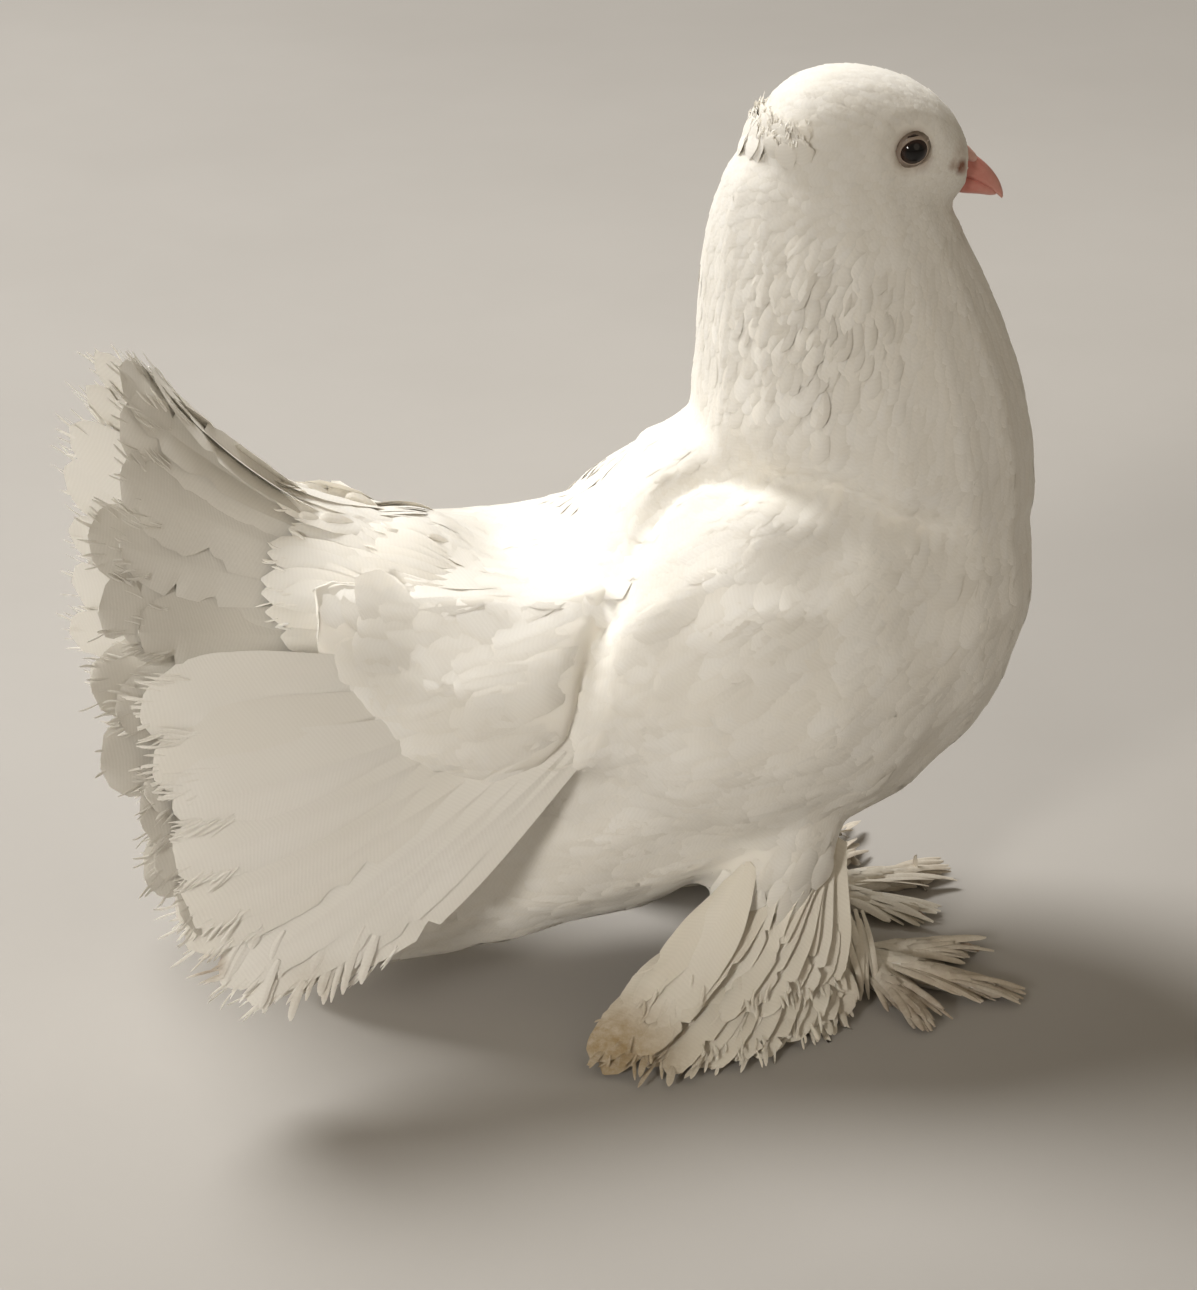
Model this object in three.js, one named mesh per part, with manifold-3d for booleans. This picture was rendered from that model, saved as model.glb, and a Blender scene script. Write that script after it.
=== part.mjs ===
// Life-size still model of a white fantail pigeon with muffed feet and a small peaked crest.
// Millimetres. +X points to the bill, +Y to the bird's left, +Z up.
// The flesh and coat are lofts through named stations; the fan, flights and foot
// muffs are thin curved blades with scalloped tips. The whole body is made as one
// form and then parted with thin cuts at the head, neck, trunk and rump.
import * as THREE from "three";
import { mergeVertices } from "three/addons/utils/BufferGeometryUtils.js";
import Module from "manifold-3d";

const wasm = await Module();
wasm.setup();

// ---------- driving sizes ----------
const GAP = 0.35;            // clearance between neighbouring solids
const RING = 16;             // points round a body section
const LIFE = 1.05;           // all lengths below are nominal; this brings them to life size
const EYE_R = 4.9;           // eyeball radius
const EYE = { x: 11.6, y: 11.8, z: 251.4 };
const HEAD_TILT = -7;        // degrees, bill side down
const TAIL_L = 118;          // length of a rectrix from the root arc
const TAIL_T0 = 2.6, TAIL_T1 = 0.9;   // fan thickness at root and at the tips
const MUFF_T = 2.0;          // foot muff thickness
const SOLE = 9.6;            // level of all that touches the floor

// ---------- small helpers ----------
const rad = (d) => (d * Math.PI) / 180;
const lerp = (a, b, t) => a + (b - a) * t;
const V = (x, y, z) => new THREE.Vector3(x, y, z);

// Catmull-Rom through the rows of a table; u runs from 0 to rows-1.
function row(table, u) {
  const n = table.length, i = Math.min(n - 2, Math.max(0, Math.floor(u))), t = u - i;
  const p = (k) => table[Math.min(n - 1, Math.max(0, k))];
  const a = p(i - 1), b = p(i), c = p(i + 1), d = p(i + 2);
  return b.map((_, k) => {
    const m1 = (c[k] - a[k]) / 2, m2 = (d[k] - b[k]) / 2;
    const t2 = t * t, t3 = t2 * t;
    return (2 * t3 - 3 * t2 + 1) * b[k] + (t3 - 2 * t2 + t) * m1 + (-2 * t3 + 3 * t2) * c[k] + (t3 - t2) * m2;
  });
}

// Rings of equal length joined into a closed surface. The ends are fans to their centres or, for
// a curved sheet whose ring runs out along one face and back along the other, ladders between the faces.
function skinRings(rings, ladder = false) {
  const n = rings[0].length, pos = [], idx = [];
  for (const r of rings) for (const p of r) pos.push(p.x, p.y, p.z);
  for (let i = 0; i < rings.length - 1; i++)
    for (let j = 0; j < n; j++) {
      const a = i * n + j, b = i * n + ((j + 1) % n), c = a + n, d = b + n;
      idx.push(a, b, d, a, d, c);
    }
  const cap = (r, base, flip) => {
    if (ladder) {
      for (let j = 0; j < n / 2 - 1; j++) {
        const a = base + j, b = a + 1, c = base + n - 2 - j, d = c + 1;
        flip ? idx.push(a, b, c, a, c, d) : idx.push(a, d, c, a, c, b);
      }
      return;
    }
    const c = r.reduce((s, p) => s.add(p), V(0, 0, 0)).multiplyScalar(1 / n);
    const k = pos.length / 3;
    pos.push(c.x, c.y, c.z);
    for (let j = 0; j < n; j++) {
      const a = base + j, b = base + ((j + 1) % n);
      flip ? idx.push(k, a, b) : idx.push(k, b, a);
    }
  };
  cap(rings[0], 0, false);
  cap(rings[rings.length - 1], (rings.length - 1) * n, true);
  const g = new THREE.BufferGeometry();
  g.setAttribute("position", new THREE.Float32BufferAttribute(pos, 3));
  g.setIndex(idx);
  return g;
}

function solid(g) {
  const c = g.clone();
  for (const k of Object.keys(c.attributes)) if (k !== "position") c.deleteAttribute(k);
  const m = mergeVertices(c, 1e-4);
  const tri = new Uint32Array(m.index.array);
  let s = new wasm.Manifold(new wasm.Mesh({ numProp: 3, vertProperties: new Float32Array(m.attributes.position.array), triVerts: tri }));
  if (s.volume() < 0) {
    for (let i = 0; i < tri.length; i += 3) [tri[i + 1], tri[i + 2]] = [tri[i + 2], tri[i + 1]];
    s = new wasm.Manifold(new wasm.Mesh({ numProp: 3, vertProperties: new Float32Array(m.attributes.position.array), triVerts: tri }));
  }
  return s;
}

function geometryOf(s) {
  const m = s.getMesh(), n = m.numProp, v = new Float32Array(m.numVert * 3);
  for (let i = 0; i < m.numVert; i++) v.set(m.vertProperties.subarray(i * n, i * n + 3), i * 3);
  for (let i = 0; i < v.length; i++) v[i] *= LIFE;
  const g = new THREE.BufferGeometry();
  g.setAttribute("position", new THREE.BufferAttribute(v, 3));
  g.setIndex(new THREE.BufferAttribute(m.triVerts, 1));
  g.computeVertexNormals();
  return g;
}

// The largest closed body of a solid, with slivers under 0.03 mm closed up, so that a cut leaves no crumbs.
const largest = (s) => s.simplify(0.03).decompose().reduce((a, b) => (a.volume() > b.volume() ? a : b));

function boxSolid(w, d, h, at, rot = [0, 0, 0]) {
  const g = new THREE.BoxGeometry(w, d, h);
  g.applyMatrix4(new THREE.Matrix4().compose(at, new THREE.Quaternion().setFromEuler(new THREE.Euler(...rot)), V(1, 1, 1)));
  return solid(g);
}

function ellipsoid(at, r, rot = [0, 0, 0], ws = 18, hs = 13) {
  const g = new THREE.SphereGeometry(1, ws, hs);
  g.applyMatrix4(new THREE.Matrix4().compose(at, new THREE.Quaternion().setFromEuler(new THREE.Euler(...rot)), V(...r)));
  return solid(g);
}

// An oval whose upper and lower halves differ, with a squareness n.
function oval(halfW, up, down, n, count = RING) {
  const pts = [];
  for (let i = 0; i < count; i++) {
    const a = (2 * Math.PI * i) / count, c = Math.cos(a), s = Math.sin(a);
    const f = (v) => Math.sign(v) * Math.pow(Math.abs(v), 2 / n);
    pts.push([halfW * f(c), (s > 0 ? up : down) * f(s)]);
  }
  return pts;
}

// ---------- trunk: upright sections along X ----------
// x, top z, bottom z, z of the widest level, half width, squareness
const TRUNK = [
  [50.5, 134, 127, 131, 3, 2.0],
  [49, 147, 115, 131, 17, 2.0],
  [43.5, 158, 98, 129, 31, 2.0],
  [32, 166, 78, 125, 42, 2.05],
  [14, 170, 62, 120, 49, 2.1],
  [-7, 172, 52.5, 116, 53, 2.15],
  [-30, 172, 44, 112, 53, 2.2],
  [-52, 163, 35.5, 107, 50, 2.2],
  [-74, 147, 28.5, 101, 46, 2.15],
  [-96, 141.5, 23, 96, 41, 2.1],
  [-118, 139, 18.8, 90, 35, 2.05],
  [-138, 124, 16.8, 74, 27, 2.0],
  [-152, 94, 17.8, 54, 17, 2.0],
  [-160, 62, 24, 42, 5, 2.0],
];
function trunkLoft(grow) {
  const rings = [], N = 16;
  for (let i = 0; i <= N; i++) {
    const [x, top, bot, mid, w, n] = row(TRUNK, (i / N) * (TRUNK.length - 1));
    const end = i === 0 ? 1 : i === N ? -1 : 0;
    rings.push(oval(w + grow, top - mid + grow, mid - bot + grow, n).map(([y, z]) => V(x + end * grow, y, mid + z)));
  }
  return solid(skinRings(rings));
}

// ---------- breast pouch: the side plumage that laps over the wing's front edge ----------
function pouch(side, grow) {
  const a = ellipsoid(V(-32, side * 24, 110.5), [64 + grow, 36 + grow, 51 + grow], [0, rad(-18), side * rad(2)], 16, 10);
  const b = ellipsoid(V(-33, side * 24, 134), [41 + grow, 26 + grow, 30 + grow], [0, rad(-36), side * rad(3)], 12, 8);
  return a.add(b);
}

// ---------- tail base: the rump and tail coverts heaped over the roots of the fan ----------
const tailBase = (grow) => ellipsoid(V(-117, 0, 121), [44 + grow, 39 + grow, 28.5 + grow], [0, rad(32), 0], 14, 9);

// ---------- mantle: the raised feathers between the shoulders ----------
const mantle = (grow) => ellipsoid(V(-38, 0, 145), [35 + grow, 33 + grow, 30 + grow], [0, rad(-38), 0], 12, 8);

// ---------- neck: level sections up Z ----------
// z, centre x, half length x, half width y, squareness
const NECK = [
  [112, 5, 41, 36, 2.0],
  [128, 6, 44.5, 40, 2.05],
  [146, 6, 46.5, 42.5, 2.1],
  [168, 4.2, 47, 41.5, 2.15],
  [190, 1.2, 44.8, 37.5, 2.15],
  [210, -2.8, 40.2, 32, 2.1],
  [226, -6, 35.6, 26.2, 2.05],
  [238, -7.6, 31, 21.2, 2.0],
  [248, -8.5, 25, 16.5, 2.0],
  [256, -9, 17, 11, 2.0],
];
function neckLoft(grow) {
  const rings = [], N = 12;
  for (let i = 0; i <= N; i++) {
    const [z, cx, hx, hy, n] = row(NECK, (i / N) * (NECK.length - 1));
    rings.push(oval(hy + grow, hx + grow, hx + grow, n).map(([y, x]) => V(cx + x, y, z)));
  }
  return solid(skinRings(rings));
}

// ---------- head: sections along its own axis, then tilted ----------
// distance along the axis, top, bottom, half width, squareness
const HEAD = [
  [31.8, 1.2, -6.6, 2.6, 2.0],
  [30.8, 4.6, -9.4, 6.0, 2.1],
  [27.6, 10.4, -12.0, 9.2, 2.15],
  [22, 16.4, -15.2, 12.2, 2.2],
  [14, 20.9, -18.4, 14.8, 2.25],
  [5, 23.3, -21.4, 16.6, 2.25],
  [-4, 24, -24, 17.4, 2.2],
  [-13, 22.7, -26, 17.2, 2.1],
  [-20.5, 18.8, -26, 15.2, 2.05],
  [-25.6, 11.2, -24, 11.0, 2.0],
  [-27.6, 2, -18, 5.0, 2.0],
];
const HEAD_AT = V(-0.8, 0, 247.2);
function headLoft(grow) {
  const rings = [], N = 12, q = new THREE.Matrix4().makeRotationY(rad(-HEAD_TILT)).setPosition(HEAD_AT);
  for (let i = 0; i <= N; i++) {
    const [x, top, bot, w, n] = row(HEAD, (i / N) * (HEAD.length - 1));
    const mid = lerp(bot, top, 0.52), end = i === 0 ? 1 : i === N ? -1 : 0;
    rings.push(oval(w + grow, top - mid + grow, mid - bot + grow, n, 18).map(([y, z]) => V(x + end * grow, y, mid + z).applyMatrix4(q)));
  }
  return solid(skinRings(rings));
}

const bodyWhole = (grow) =>
  trunkLoft(grow).add(pouch(1, grow)).add(pouch(-1, grow)).add(tailBase(grow)).add(mantle(grow)).add(neckLoft(grow)).add(headLoft(grow));

// ---------- parting cuts ----------
const BIG = 400;
// Everything above a tilted plane through "at"; tilt in degrees about Y, shift along the plane's normal.
const above = (at, tilt, shift) => {
  const n = V(Math.sin(rad(tilt)), 0, Math.cos(rad(tilt)));
  return boxSolid(BIG, BIG, BIG, at.clone().addScaledVector(n, BIG / 2 + shift), [0, rad(tilt), 0]);
};
const CUT_HEAD = [V(-3, 0, 231.5), 9];
const CUT_NECK = [V(4, 0, 153), 15];
const CUT_RUMP = [V(-98, 0, 90), -80];

// ---------- wing: a shell on the trunk's side, from its hidden bend to the coverts' tips ----------
// Sections across the wing's length: x, top z, bottom z, outer |y| at the top, middle and bottom, thickness
const WING = [
  [-60, 146, 100, 36, 44, 42, 9],
  [-74, 143, 98, 34, 48, 46, 11],
  [-90, 141, 95, 32, 51, 49, 12],
  [-106, 141, 91, 31, 51.5, 50.5, 11],
  [-122, 144, 93, 31, 50, 50, 8],
  [-136, 149, 102, 32, 48.5, 49.5, 6],
  [-148, 152, 121, 34, 46.5, 48, 4],
  [-156, 152, 138, 38, 44, 46, 2.2],
];
function wingLoft(side, grow = 0) {
  const rings = [], N = 8, M = 5;
  for (let i = 0; i <= N; i++) {
    const [x0, top0, bot0, yt, ym, yb, th] = row(WING, (i / N) * (WING.length - 1));
    const x = x0 + (i === 0 ? grow : i === N ? -grow : 0), top = top0 + grow, bot = bot0 - grow;
    const outer = [], inner = [];
    for (let j = 0; j <= M; j++) {
      const v = j / M, z = lerp(top, bot, v);
      const y = (1 - v) * (1 - 2 * v) * yt + 4 * v * (1 - v) * ym + v * (2 * v - 1) * yb;
      const t = th * (0.25 + 0.75 * Math.sqrt(Math.sin(Math.PI * Math.min(0.97, Math.max(0.03, v)))));
      outer.push(V(x, side * (y + grow), z));
      inner.push(V(x, side * (y - t - grow), z));
    }
    rings.push(side > 0 ? [...outer, ...inner.reverse()] : [...outer, ...inner.reverse()].reverse());
  }
  return solid(skinRings(rings, true));
}

// ---------- blades: a sheet of feathers from a root line to scalloped tips ----------
// root(s), tip(s) and up(s) give the sheet; scallops sets the number of feathers in it.
function blade({ root, tip, bow, thick0, thick1, scallops, steps = 2, rows = 2, depth = 0.05, side = 1 }) {
  const S = scallops * steps, top = [], bottom = [];
  for (let i = 0; i <= S; i++) {
    const s = i / S, r = root(s), t = tip(s);
    const k = ((s * scallops) % 1 + 1) % 1, notch = depth * Math.pow(Math.abs(Math.cos(Math.PI * k)), 3);
    const r1 = root(Math.min(1, s + 0.02)), r0 = root(Math.max(0, s - 0.02));
    const t1 = tip(Math.min(1, s + 0.02)), t0 = tip(Math.max(0, s - 0.02));
    const a = [], b = [];
    for (let j = 0; j <= rows; j++) {
      const v = j / rows, w = v * (1 - notch);
      const p = r.clone().lerp(t, w);
      const across = r1.clone().sub(r0).lerp(t1.clone().sub(t0), 0.15 + 0.85 * v);
      const n = across.cross(t.clone().sub(r)).normalize().multiplyScalar(side);
      p.addScaledVector(n, bow * 4 * w * (1 - w));
      const h = lerp(thick0, thick1, v) / 2;
      a.push(p.clone().addScaledVector(n, h));
      b.push(p.clone().addScaledVector(n, -h));
    }
    top.push(a); bottom.push(b);
  }
  const rings = top.map((a, i) => [...a, ...bottom[i].slice().reverse()]);
  return solid(skinRings(rings, true));
}

// ---------- tail fan: an arch of rectrices, raised in the middle and drooping at the sides ----------
// |s|, elevation, outward azimuth, length factor, root x, root |y|, root z
const FAN = [
  [40, 0, 0.93, -112, 0, 135],
  [37, 7, 0.98, -112, 5, 133.5],
  [28, 13.5, 0.96, -112, 10, 129],
  [16.5, 18.5, 0.935, -112, 14, 122],
  [4, 22, 0.955, -111, 17, 114],
  [-7, 24, 0.93, -110, 19, 105],
  [-16, 25, 0.86, -109, 20, 97],
];
const fanAt = (s) => {
  const [el, az, k, x, y, z] = row(FAN, Math.abs(s) * (FAN.length - 1)), g = Math.sign(s) || 1;
  const r = V(x, g * y, z), L = TAIL_L * k;
  return { r, t: r.clone().add(V(-L * Math.cos(rad(el)) * Math.cos(rad(az)), g * L * Math.cos(rad(el)) * Math.sin(rad(az)), L * Math.sin(rad(el)))) };
};
const FAN_PARTS = [
  ["tail_left_lower", 1, 0.66, 4], ["tail_left_upper", 0.655, 0.24, 4], ["tail_centre", 0.235, -0.235, 5],
  ["tail_right_upper", -0.24, -0.655, 4], ["tail_right_lower", -0.66, -1, 4],
];
const fanPart = (s0, s1, n) => blade({
  root: (u) => fanAt(lerp(s0, s1, u)).r, tip: (u) => fanAt(lerp(s0, s1, u)).t,
  bow: -8, thick0: TAIL_T0, thick1: TAIL_T1, scallops: n, side: 1,
});

// ---------- flights: the primaries and outer secondaries carried below the fan ----------
// 0 is the foremost primary, 1 the innermost feather next to the fan
const FLIGHT = [
  // root x, |y|, z, tip x, |y|, z
  [-84, 48.5, 104, -160, 54, 40],
  [-90, 48.8, 102, -171, 55, 38],
  [-97, 48.6, 101, -181, 55.5, 42],
  [-105, 48.0, 100, -188, 56, 51],
  [-113, 47.4, 101, -192, 56.5, 63],
  [-121, 46.6, 103, -195, 57, 78],
];
const flightAt = (s, side) => {
  const [x0, y0, z0, x1, y1, z1] = row(FLIGHT, s * (FLIGHT.length - 1));
  return { r: V(x0, side * y0, z0), t: V(x1, side * y1, z1) };
};
const flightSheet = (side, grow, edge, depth) => {
  const at = (u) => flightAt(lerp(-edge, 1 + edge, u), side);
  return blade({
    root: (u) => { const { r, t } = at(u); return r.add(t.sub(r).normalize().multiplyScalar(-3 * grow)); }, tip: (u) => at(u).t,
    bow: side * 3, thick0: 3.2 + 2 * grow, thick1: 1.0 + 2 * grow, scallops: 7, depth, side: -1,
  });
};
const flights = (side) => flightSheet(side, 0, 0, 0.07);
// the same sheet with its clearance, for cutting its neighbours
const swept = (side) => flightSheet(side, 2.2 * GAP, 0.03, 0);

// ---------- crest: a short fan of feathers turned up at the nape ----------
const crest = () => {
  const arc = (u, r, lift) => {
    const a = lerp(-68, 68, u), y = r * Math.sin(rad(a)), x = -18.5 - (r - 9) * 0.62 * Math.cos(rad(a)) - 3 * Math.cos(rad(a));
    return V(x, y, 256 + lift * Math.cos(rad(a * 0.9)) - 0.02 * y * y);
  };
  return blade({ root: (u) => arc(u, 13.5, -9), tip: (u) => arc(u, 16.5, 11), bow: 1.6, thick0: 3.4, thick1: 1.1, scallops: 6, steps: 2, rows: 2, depth: 0.12, side: 1 });
};

// ---------- bill ----------
// A tapering tube along a bent line: [x, z, half width, up, down]
function spike(table, n, count, N) {
  const rings = [];
  for (let i = 0; i <= N; i++) {
    const [x, z, w, u, d] = row(table, (i / N) * (table.length - 1));
    const [x1, z1] = row(table, Math.min(table.length - 1, (i / N) * (table.length - 1) + 0.05));
    const [x0, z0] = row(table, Math.max(0, (i / N) * (table.length - 1) - 0.05));
    const a = Math.atan2(z1 - z0, x1 - x0);
    rings.push(oval(w, u, d, n, count).map(([y, h]) => V(x - Math.sin(a) * h, y, z + Math.cos(a) * h)));
  }
  return solid(skinRings(rings));
}
const BILL_UP = [
  [24, 242.4, 4.3, 4.6, 1.4], [28, 241.4, 4.2, 4.6, 1.4], [31.5, 239.9, 3.7, 4.1, 1.3],
  [35, 237.7, 3.0, 3.3, 1.1], [38, 235.3, 2.1, 2.4, 1.0], [40, 233.2, 1.2, 1.5, 0.8], [40.9, 231.8, 0.35, 0.5, 0.35],
];
const BILL_LOW = [
  [24, 238.4, 3.8, 1.5, 2.9], [28, 237.5, 3.5, 1.4, 2.7], [31.5, 236.3, 2.9, 1.2, 2.3],
  [35, 234.7, 2.1, 0.9, 1.7], [37.6, 233.3, 1.2, 0.55, 1.1], [39, 232.4, 0.35, 0.25, 0.35],
];

// ---------- legs ----------
const FOOT = [{ x: 0, y: 22 }, { x: -4, y: 21 }];           // where the toes meet: right, left
const SHANK_TOP = [-35, 24, 30];
const footOf = (g) => FOOT[g < 0 ? 0 : 1];
// A round limb through points with radii; below the floor level it is laid flat.
function limb(pts, count, N, grow = 0) {
  const rings = [];
  const at = (u) => row(pts, Math.min(pts.length - 1, Math.max(0, u)));
  for (let i = 0; i <= N; i++) {
    const u = (i / N) * (pts.length - 1), p = at(u), a = at(u - 0.05), b = at(u + 0.05);
    const d = V(b[0] - a[0], b[1] - a[1], b[2] - a[2]).normalize();
    const side = V(0, 0, 1).cross(d);
    if (side.length() < 0.2) side.set(0, 1, 0);
    side.normalize();
    const up = d.clone().cross(side).normalize();
    const end = (i === 0 ? -1 : i === N ? 1 : 0) * grow;
    rings.push(Array.from({ length: count }, (_, k) => {
      const t = (2 * Math.PI * k) / count, w = (p[3] + grow) * Math.cos(t), h = ((p[4] ?? p[3]) + grow) * Math.sin(t);
      return V(p[0], p[1], p[2]).addScaledVector(d, end).addScaledVector(side, w).addScaledVector(up, h);
    }));
  }
  return solid(skinRings(rings));
}
const thigh = (g, grow = 0) => limb([
  [-22, g * 22, 80, 26, 22], [-27, g * 23, 62, 24, 20], [-30, g * 23.5, 50, 20, 17], [-32.5, g * 24, 41, 15, 14], [-35, g * 24, 34.5, 9, 9.5], [-36, g * 24, 30.5, 5.4, 6],
], 12, 6, grow);
const shank = (g, grow = 0) => { const f = footOf(g); return limb([
  [SHANK_TOP[0], g * SHANK_TOP[1], SHANK_TOP[2], 4.8, 5.2], [-26, g * 23.6, 26, 5.4, 5.4], [-16, g * 23, 21.5, 5.4, 5.0], [f.x - 8, g * (f.y + 0.4), 17.2, 5.0, 4.6], [f.x - 1.5, g * f.y, 15, 4.6, 4.2],
], 8, 4, grow); };

// toes: heading in degrees from straight ahead (outward positive), length, radius; right foot, then left
const TOES = [
  [["inner", -6, 30, 2.9], ["middle", 33, 38, 3.2], ["outer", 72, 28, 2.9], ["hind", 212, 19, 2.7]],
  [["inner", -28, 29, 2.9], ["middle", 8, 36, 3.2], ["outer", 50, 28, 2.9], ["hind", 188, 19, 2.7]],
];
const toesOf = (g) => TOES[g < 0 ? 0 : 1];
const toeLine = (g, [, head, L, r]) => {
  const f = footOf(g), dx = Math.cos(rad(head)), dy = g * Math.sin(rad(head));
  const at = (k, z, w, h) => [f.x + dx * L * k, g * f.y + dy * L * k, SOLE + z, w, h];
  return [at(0, 4.6, r * 1.15, 5.4), at(0.3, 4.0, r * 1.1, 4.85), at(0.65, 3.2, r, 3.95), at(1, 2.3, r * 0.7, 2.75)];
};
const footSolid = (g, grow = 0) => {
  const f = footOf(g);
  let s = ellipsoid(V(f.x, g * f.y, SOLE + 4.4), [6.6 + grow, 6.4 + grow, 5.2 + grow], [0, 0, 0], 10, 6);
  for (const t of toesOf(g)) s = s.add(limb(toeLine(g, t), 6, 3, grow));
  return largest(s.subtract(boxSolid(BIG, BIG, 40, V(0, 0, SOLE - 20))));
};
// the toe alone, a little larger, so that its claw starts clear of it
const footGrown = (g, t) => limb(toeLine(g, t), 6, 3, GAP);
const claw = (g, t) => {
  const [, head, L] = t, f = footOf(g), dx = Math.cos(rad(head)), dy = g * Math.sin(rad(head));
  const e = L - 0.6, at = (k, z, r) => [f.x + dx * (e + k), g * f.y + dy * (e + k), SOLE + z, r, r];
  return limb([at(0, 2.7, 1.3), at(3.4, 3.2, 1.15), at(6.4, 2.4, 0.8), at(8.4, 0.85, 0.3)], 5, 2).subtract(boxSolid(BIG, BIG, 40, V(0, 0, SOLE - 20)));
};

// ---------- muffs: the fans of long feathers on the shank and outer toe ----------
// root x, |y|, z, tip x, |y|, z ; from the hindmost feather to the foremost
const MUFF_R = [
  [-39, 28.5, 33, -86, 58, 13.6], [-35.5, 29.5, 31, -80, 66, 10.4], [-29, 30.2, 27.5, -62, 69, 10.3],
  [-22, 30.4, 24.5, -44, 66, 10.3], [-14, 30.2, 21, -28, 58, 10.3], [-6, 29.6, 18, -12, 47, 10.3],
];
const MUFF_L = [
  [-39, 28.5, 33, -80, 56, 13.6], [-35.5, 29.5, 31, -64, 66, 10.4], [-29, 30.2, 27.5, -42, 71, 10.3],
  [-22, 30.4, 24.5, -18, 71, 10.3], [-15, 30.2, 21, 4, 66, 10.6], [-8, 29.6, 18.5, 21, 57, 13.0],
];
const muff = (g) => {
  const T = g < 0 ? MUFF_R : MUFF_L, at = (u) => row(T, u * (T.length - 1));
  const s = blade({
    root: (u) => { const p = at(u); return V(p[0], g * p[1], p[2]); },
    tip: (u) => { const p = at(u); return V(p[3], g * p[4], p[5]); },
    bow: g * 5, thick0: MUFF_T * 1.3, thick1: MUFF_T * 0.9, scallops: 7, steps: 2, rows: 2, depth: 0.09, side: -1,
  });
  return s.subtract(boxSolid(BIG, BIG, 40, V(0, 0, SOLE - 20))).subtract(shank(g, GAP)).subtract(thigh(g, GAP)).subtract(footSolid(g, GAP));
};

// ---------- materials ----------
const mat = (hex, rough) => new THREE.MeshStandardMaterial({ color: hex, roughness: rough, metalness: 0 });
const WHITE = mat(0xf1ece0, 0.85), BILL = mat(0xcf8477, 0.45), EYEM = mat(0x1c0f0c, 0.08), CLAW = mat(0x8f7a68, 0.5), CERE = mat(0xd8c3b4, 0.7);

// ---------- assembly ----------
const bird = new THREE.Group();
const add = (name, s, material) => { const m = new THREE.Mesh(geometryOf(s), material); m.name = name; bird.add(m); };

const whole = bodyWhole(0), fatter = bodyWhole(GAP + 0.1);
const sockets = [1, -1].map((g) => ellipsoid(V(EYE.x, g * EYE.y, EYE.z), [EYE_R + GAP, EYE_R + GAP, EYE_R + GAP], [Math.PI / 2, 0, 0], 12, 8));
const grownBill = (T, n, N, dx, up, down) => spike(T.map(([x, z, w, u, d]) => [x + dx, z, w + 1.5 * GAP, u + 1.5 * GAP + up, d + 1.5 * GAP + down]), 2.1, n, N);
const billHole = [0, -1].map((dx) => grownBill(BILL_UP, 10, 6, dx, 0, 2).add(grownBill(BILL_LOW, 8, 5, dx, 2, 0))).reduce((a, b) => a.add(b));
const crestSolid = crest().subtract(fatter);

let head = whole.intersect(above(...CUT_HEAD, GAP / 2)).subtract(billHole);
for (const s of sockets) head = head.subtract(s);
add("head", largest(head), WHITE);
add("crest", largest(crestSolid), WHITE);
for (const [g, n] of [[1, "left"], [-1, "right"]])
  add("eye_" + n, ellipsoid(V(EYE.x, g * EYE.y, EYE.z), [EYE_R, EYE_R, EYE_R], [Math.PI / 2, 0, 0], 12, 8), EYEM);

const upBill = spike(BILL_UP, 2.1, 10, 6), lowGap = spike(BILL_UP.map(([x, z, w, u, d]) => [x, z, w + GAP, u + GAP, d + GAP]), 2.1, 10, 6);
const CERE_AT = [29.4, 1.9, 245.6];
const cereLobes = (k) => [1, -1].map((g) => ellipsoid(V(CERE_AT[0], g * CERE_AT[1], CERE_AT[2]), [3.8 + k, 2.0 + k, 1.7 + k], [0, rad(32), 0], 8, 6)).reduce((a, b) => a.add(b));
const cereShape = cereLobes(0), cereCut = cereLobes(GAP);
add("bill_upper", largest(upBill.subtract(cereCut)), BILL);
add("bill_lower", largest(spike(BILL_LOW, 2.1, 8, 5).subtract(lowGap)), BILL);
add("cere", largest(cereShape.subtract(headLoft(GAP + 0.15))), CERE);

add("neck", largest(whole.subtract(above(...CUT_HEAD, -GAP / 2)).intersect(above(...CUT_NECK, GAP / 2))), WHITE);
const lower = whole.subtract(above(...CUT_NECK, -GAP / 2));
add("trunk", largest(lower.subtract(above(...CUT_RUMP, -GAP / 2))), WHITE);
add("rump", largest(lower.intersect(above(...CUT_RUMP, GAP / 2))), WHITE);

for (const [g, n] of [[1, "left"], [-1, "right"]]) {
  const ft = footSolid(g), sh = shank(g).subtract(thigh(g, GAP));
  add("wing_" + n, largest(wingLoft(g).subtract(fatter).subtract(swept(g))), WHITE);
  add("flights_" + n, largest(flights(g).subtract(fatter)), WHITE);
  add("thigh_" + n, largest(thigh(g).subtract(fatter)), WHITE);
  add("foot_" + n, largest(ft.subtract(shank(g, GAP))), CERE);
  add("shank_" + n, largest(sh), WHITE);
  add("muff_" + n, largest(muff(g)), WHITE);
  for (const t of toesOf(g)) add("claw_" + n + "_" + t[0], largest(claw(g, t).subtract(footGrown(g, t))), CLAW);
}
for (const [n, a, b, k] of FAN_PARTS) {
  let f = fanPart(a, b, k).subtract(fatter);
  for (const g of [1, -1]) f = f.subtract(wingLoft(g, GAP)).subtract(swept(g));
  add(n, largest(f), WHITE);
}

// the origin is the middle of the underside of the whole bird's box
const box = new THREE.Box3().setFromObject(bird);
bird.position.set(-(box.min.x + box.max.x) / 2, -(box.min.y + box.max.y) / 2, -box.min.z);
bird.updateMatrixWorld(true);
export default bird;
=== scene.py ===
import math
import time

import bmesh
import bpy
import numpy as np
from mathutils import Matrix, Vector
from mathutils.bvhtree import BVHTree
from mathutils.kdtree import KDTree


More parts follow.
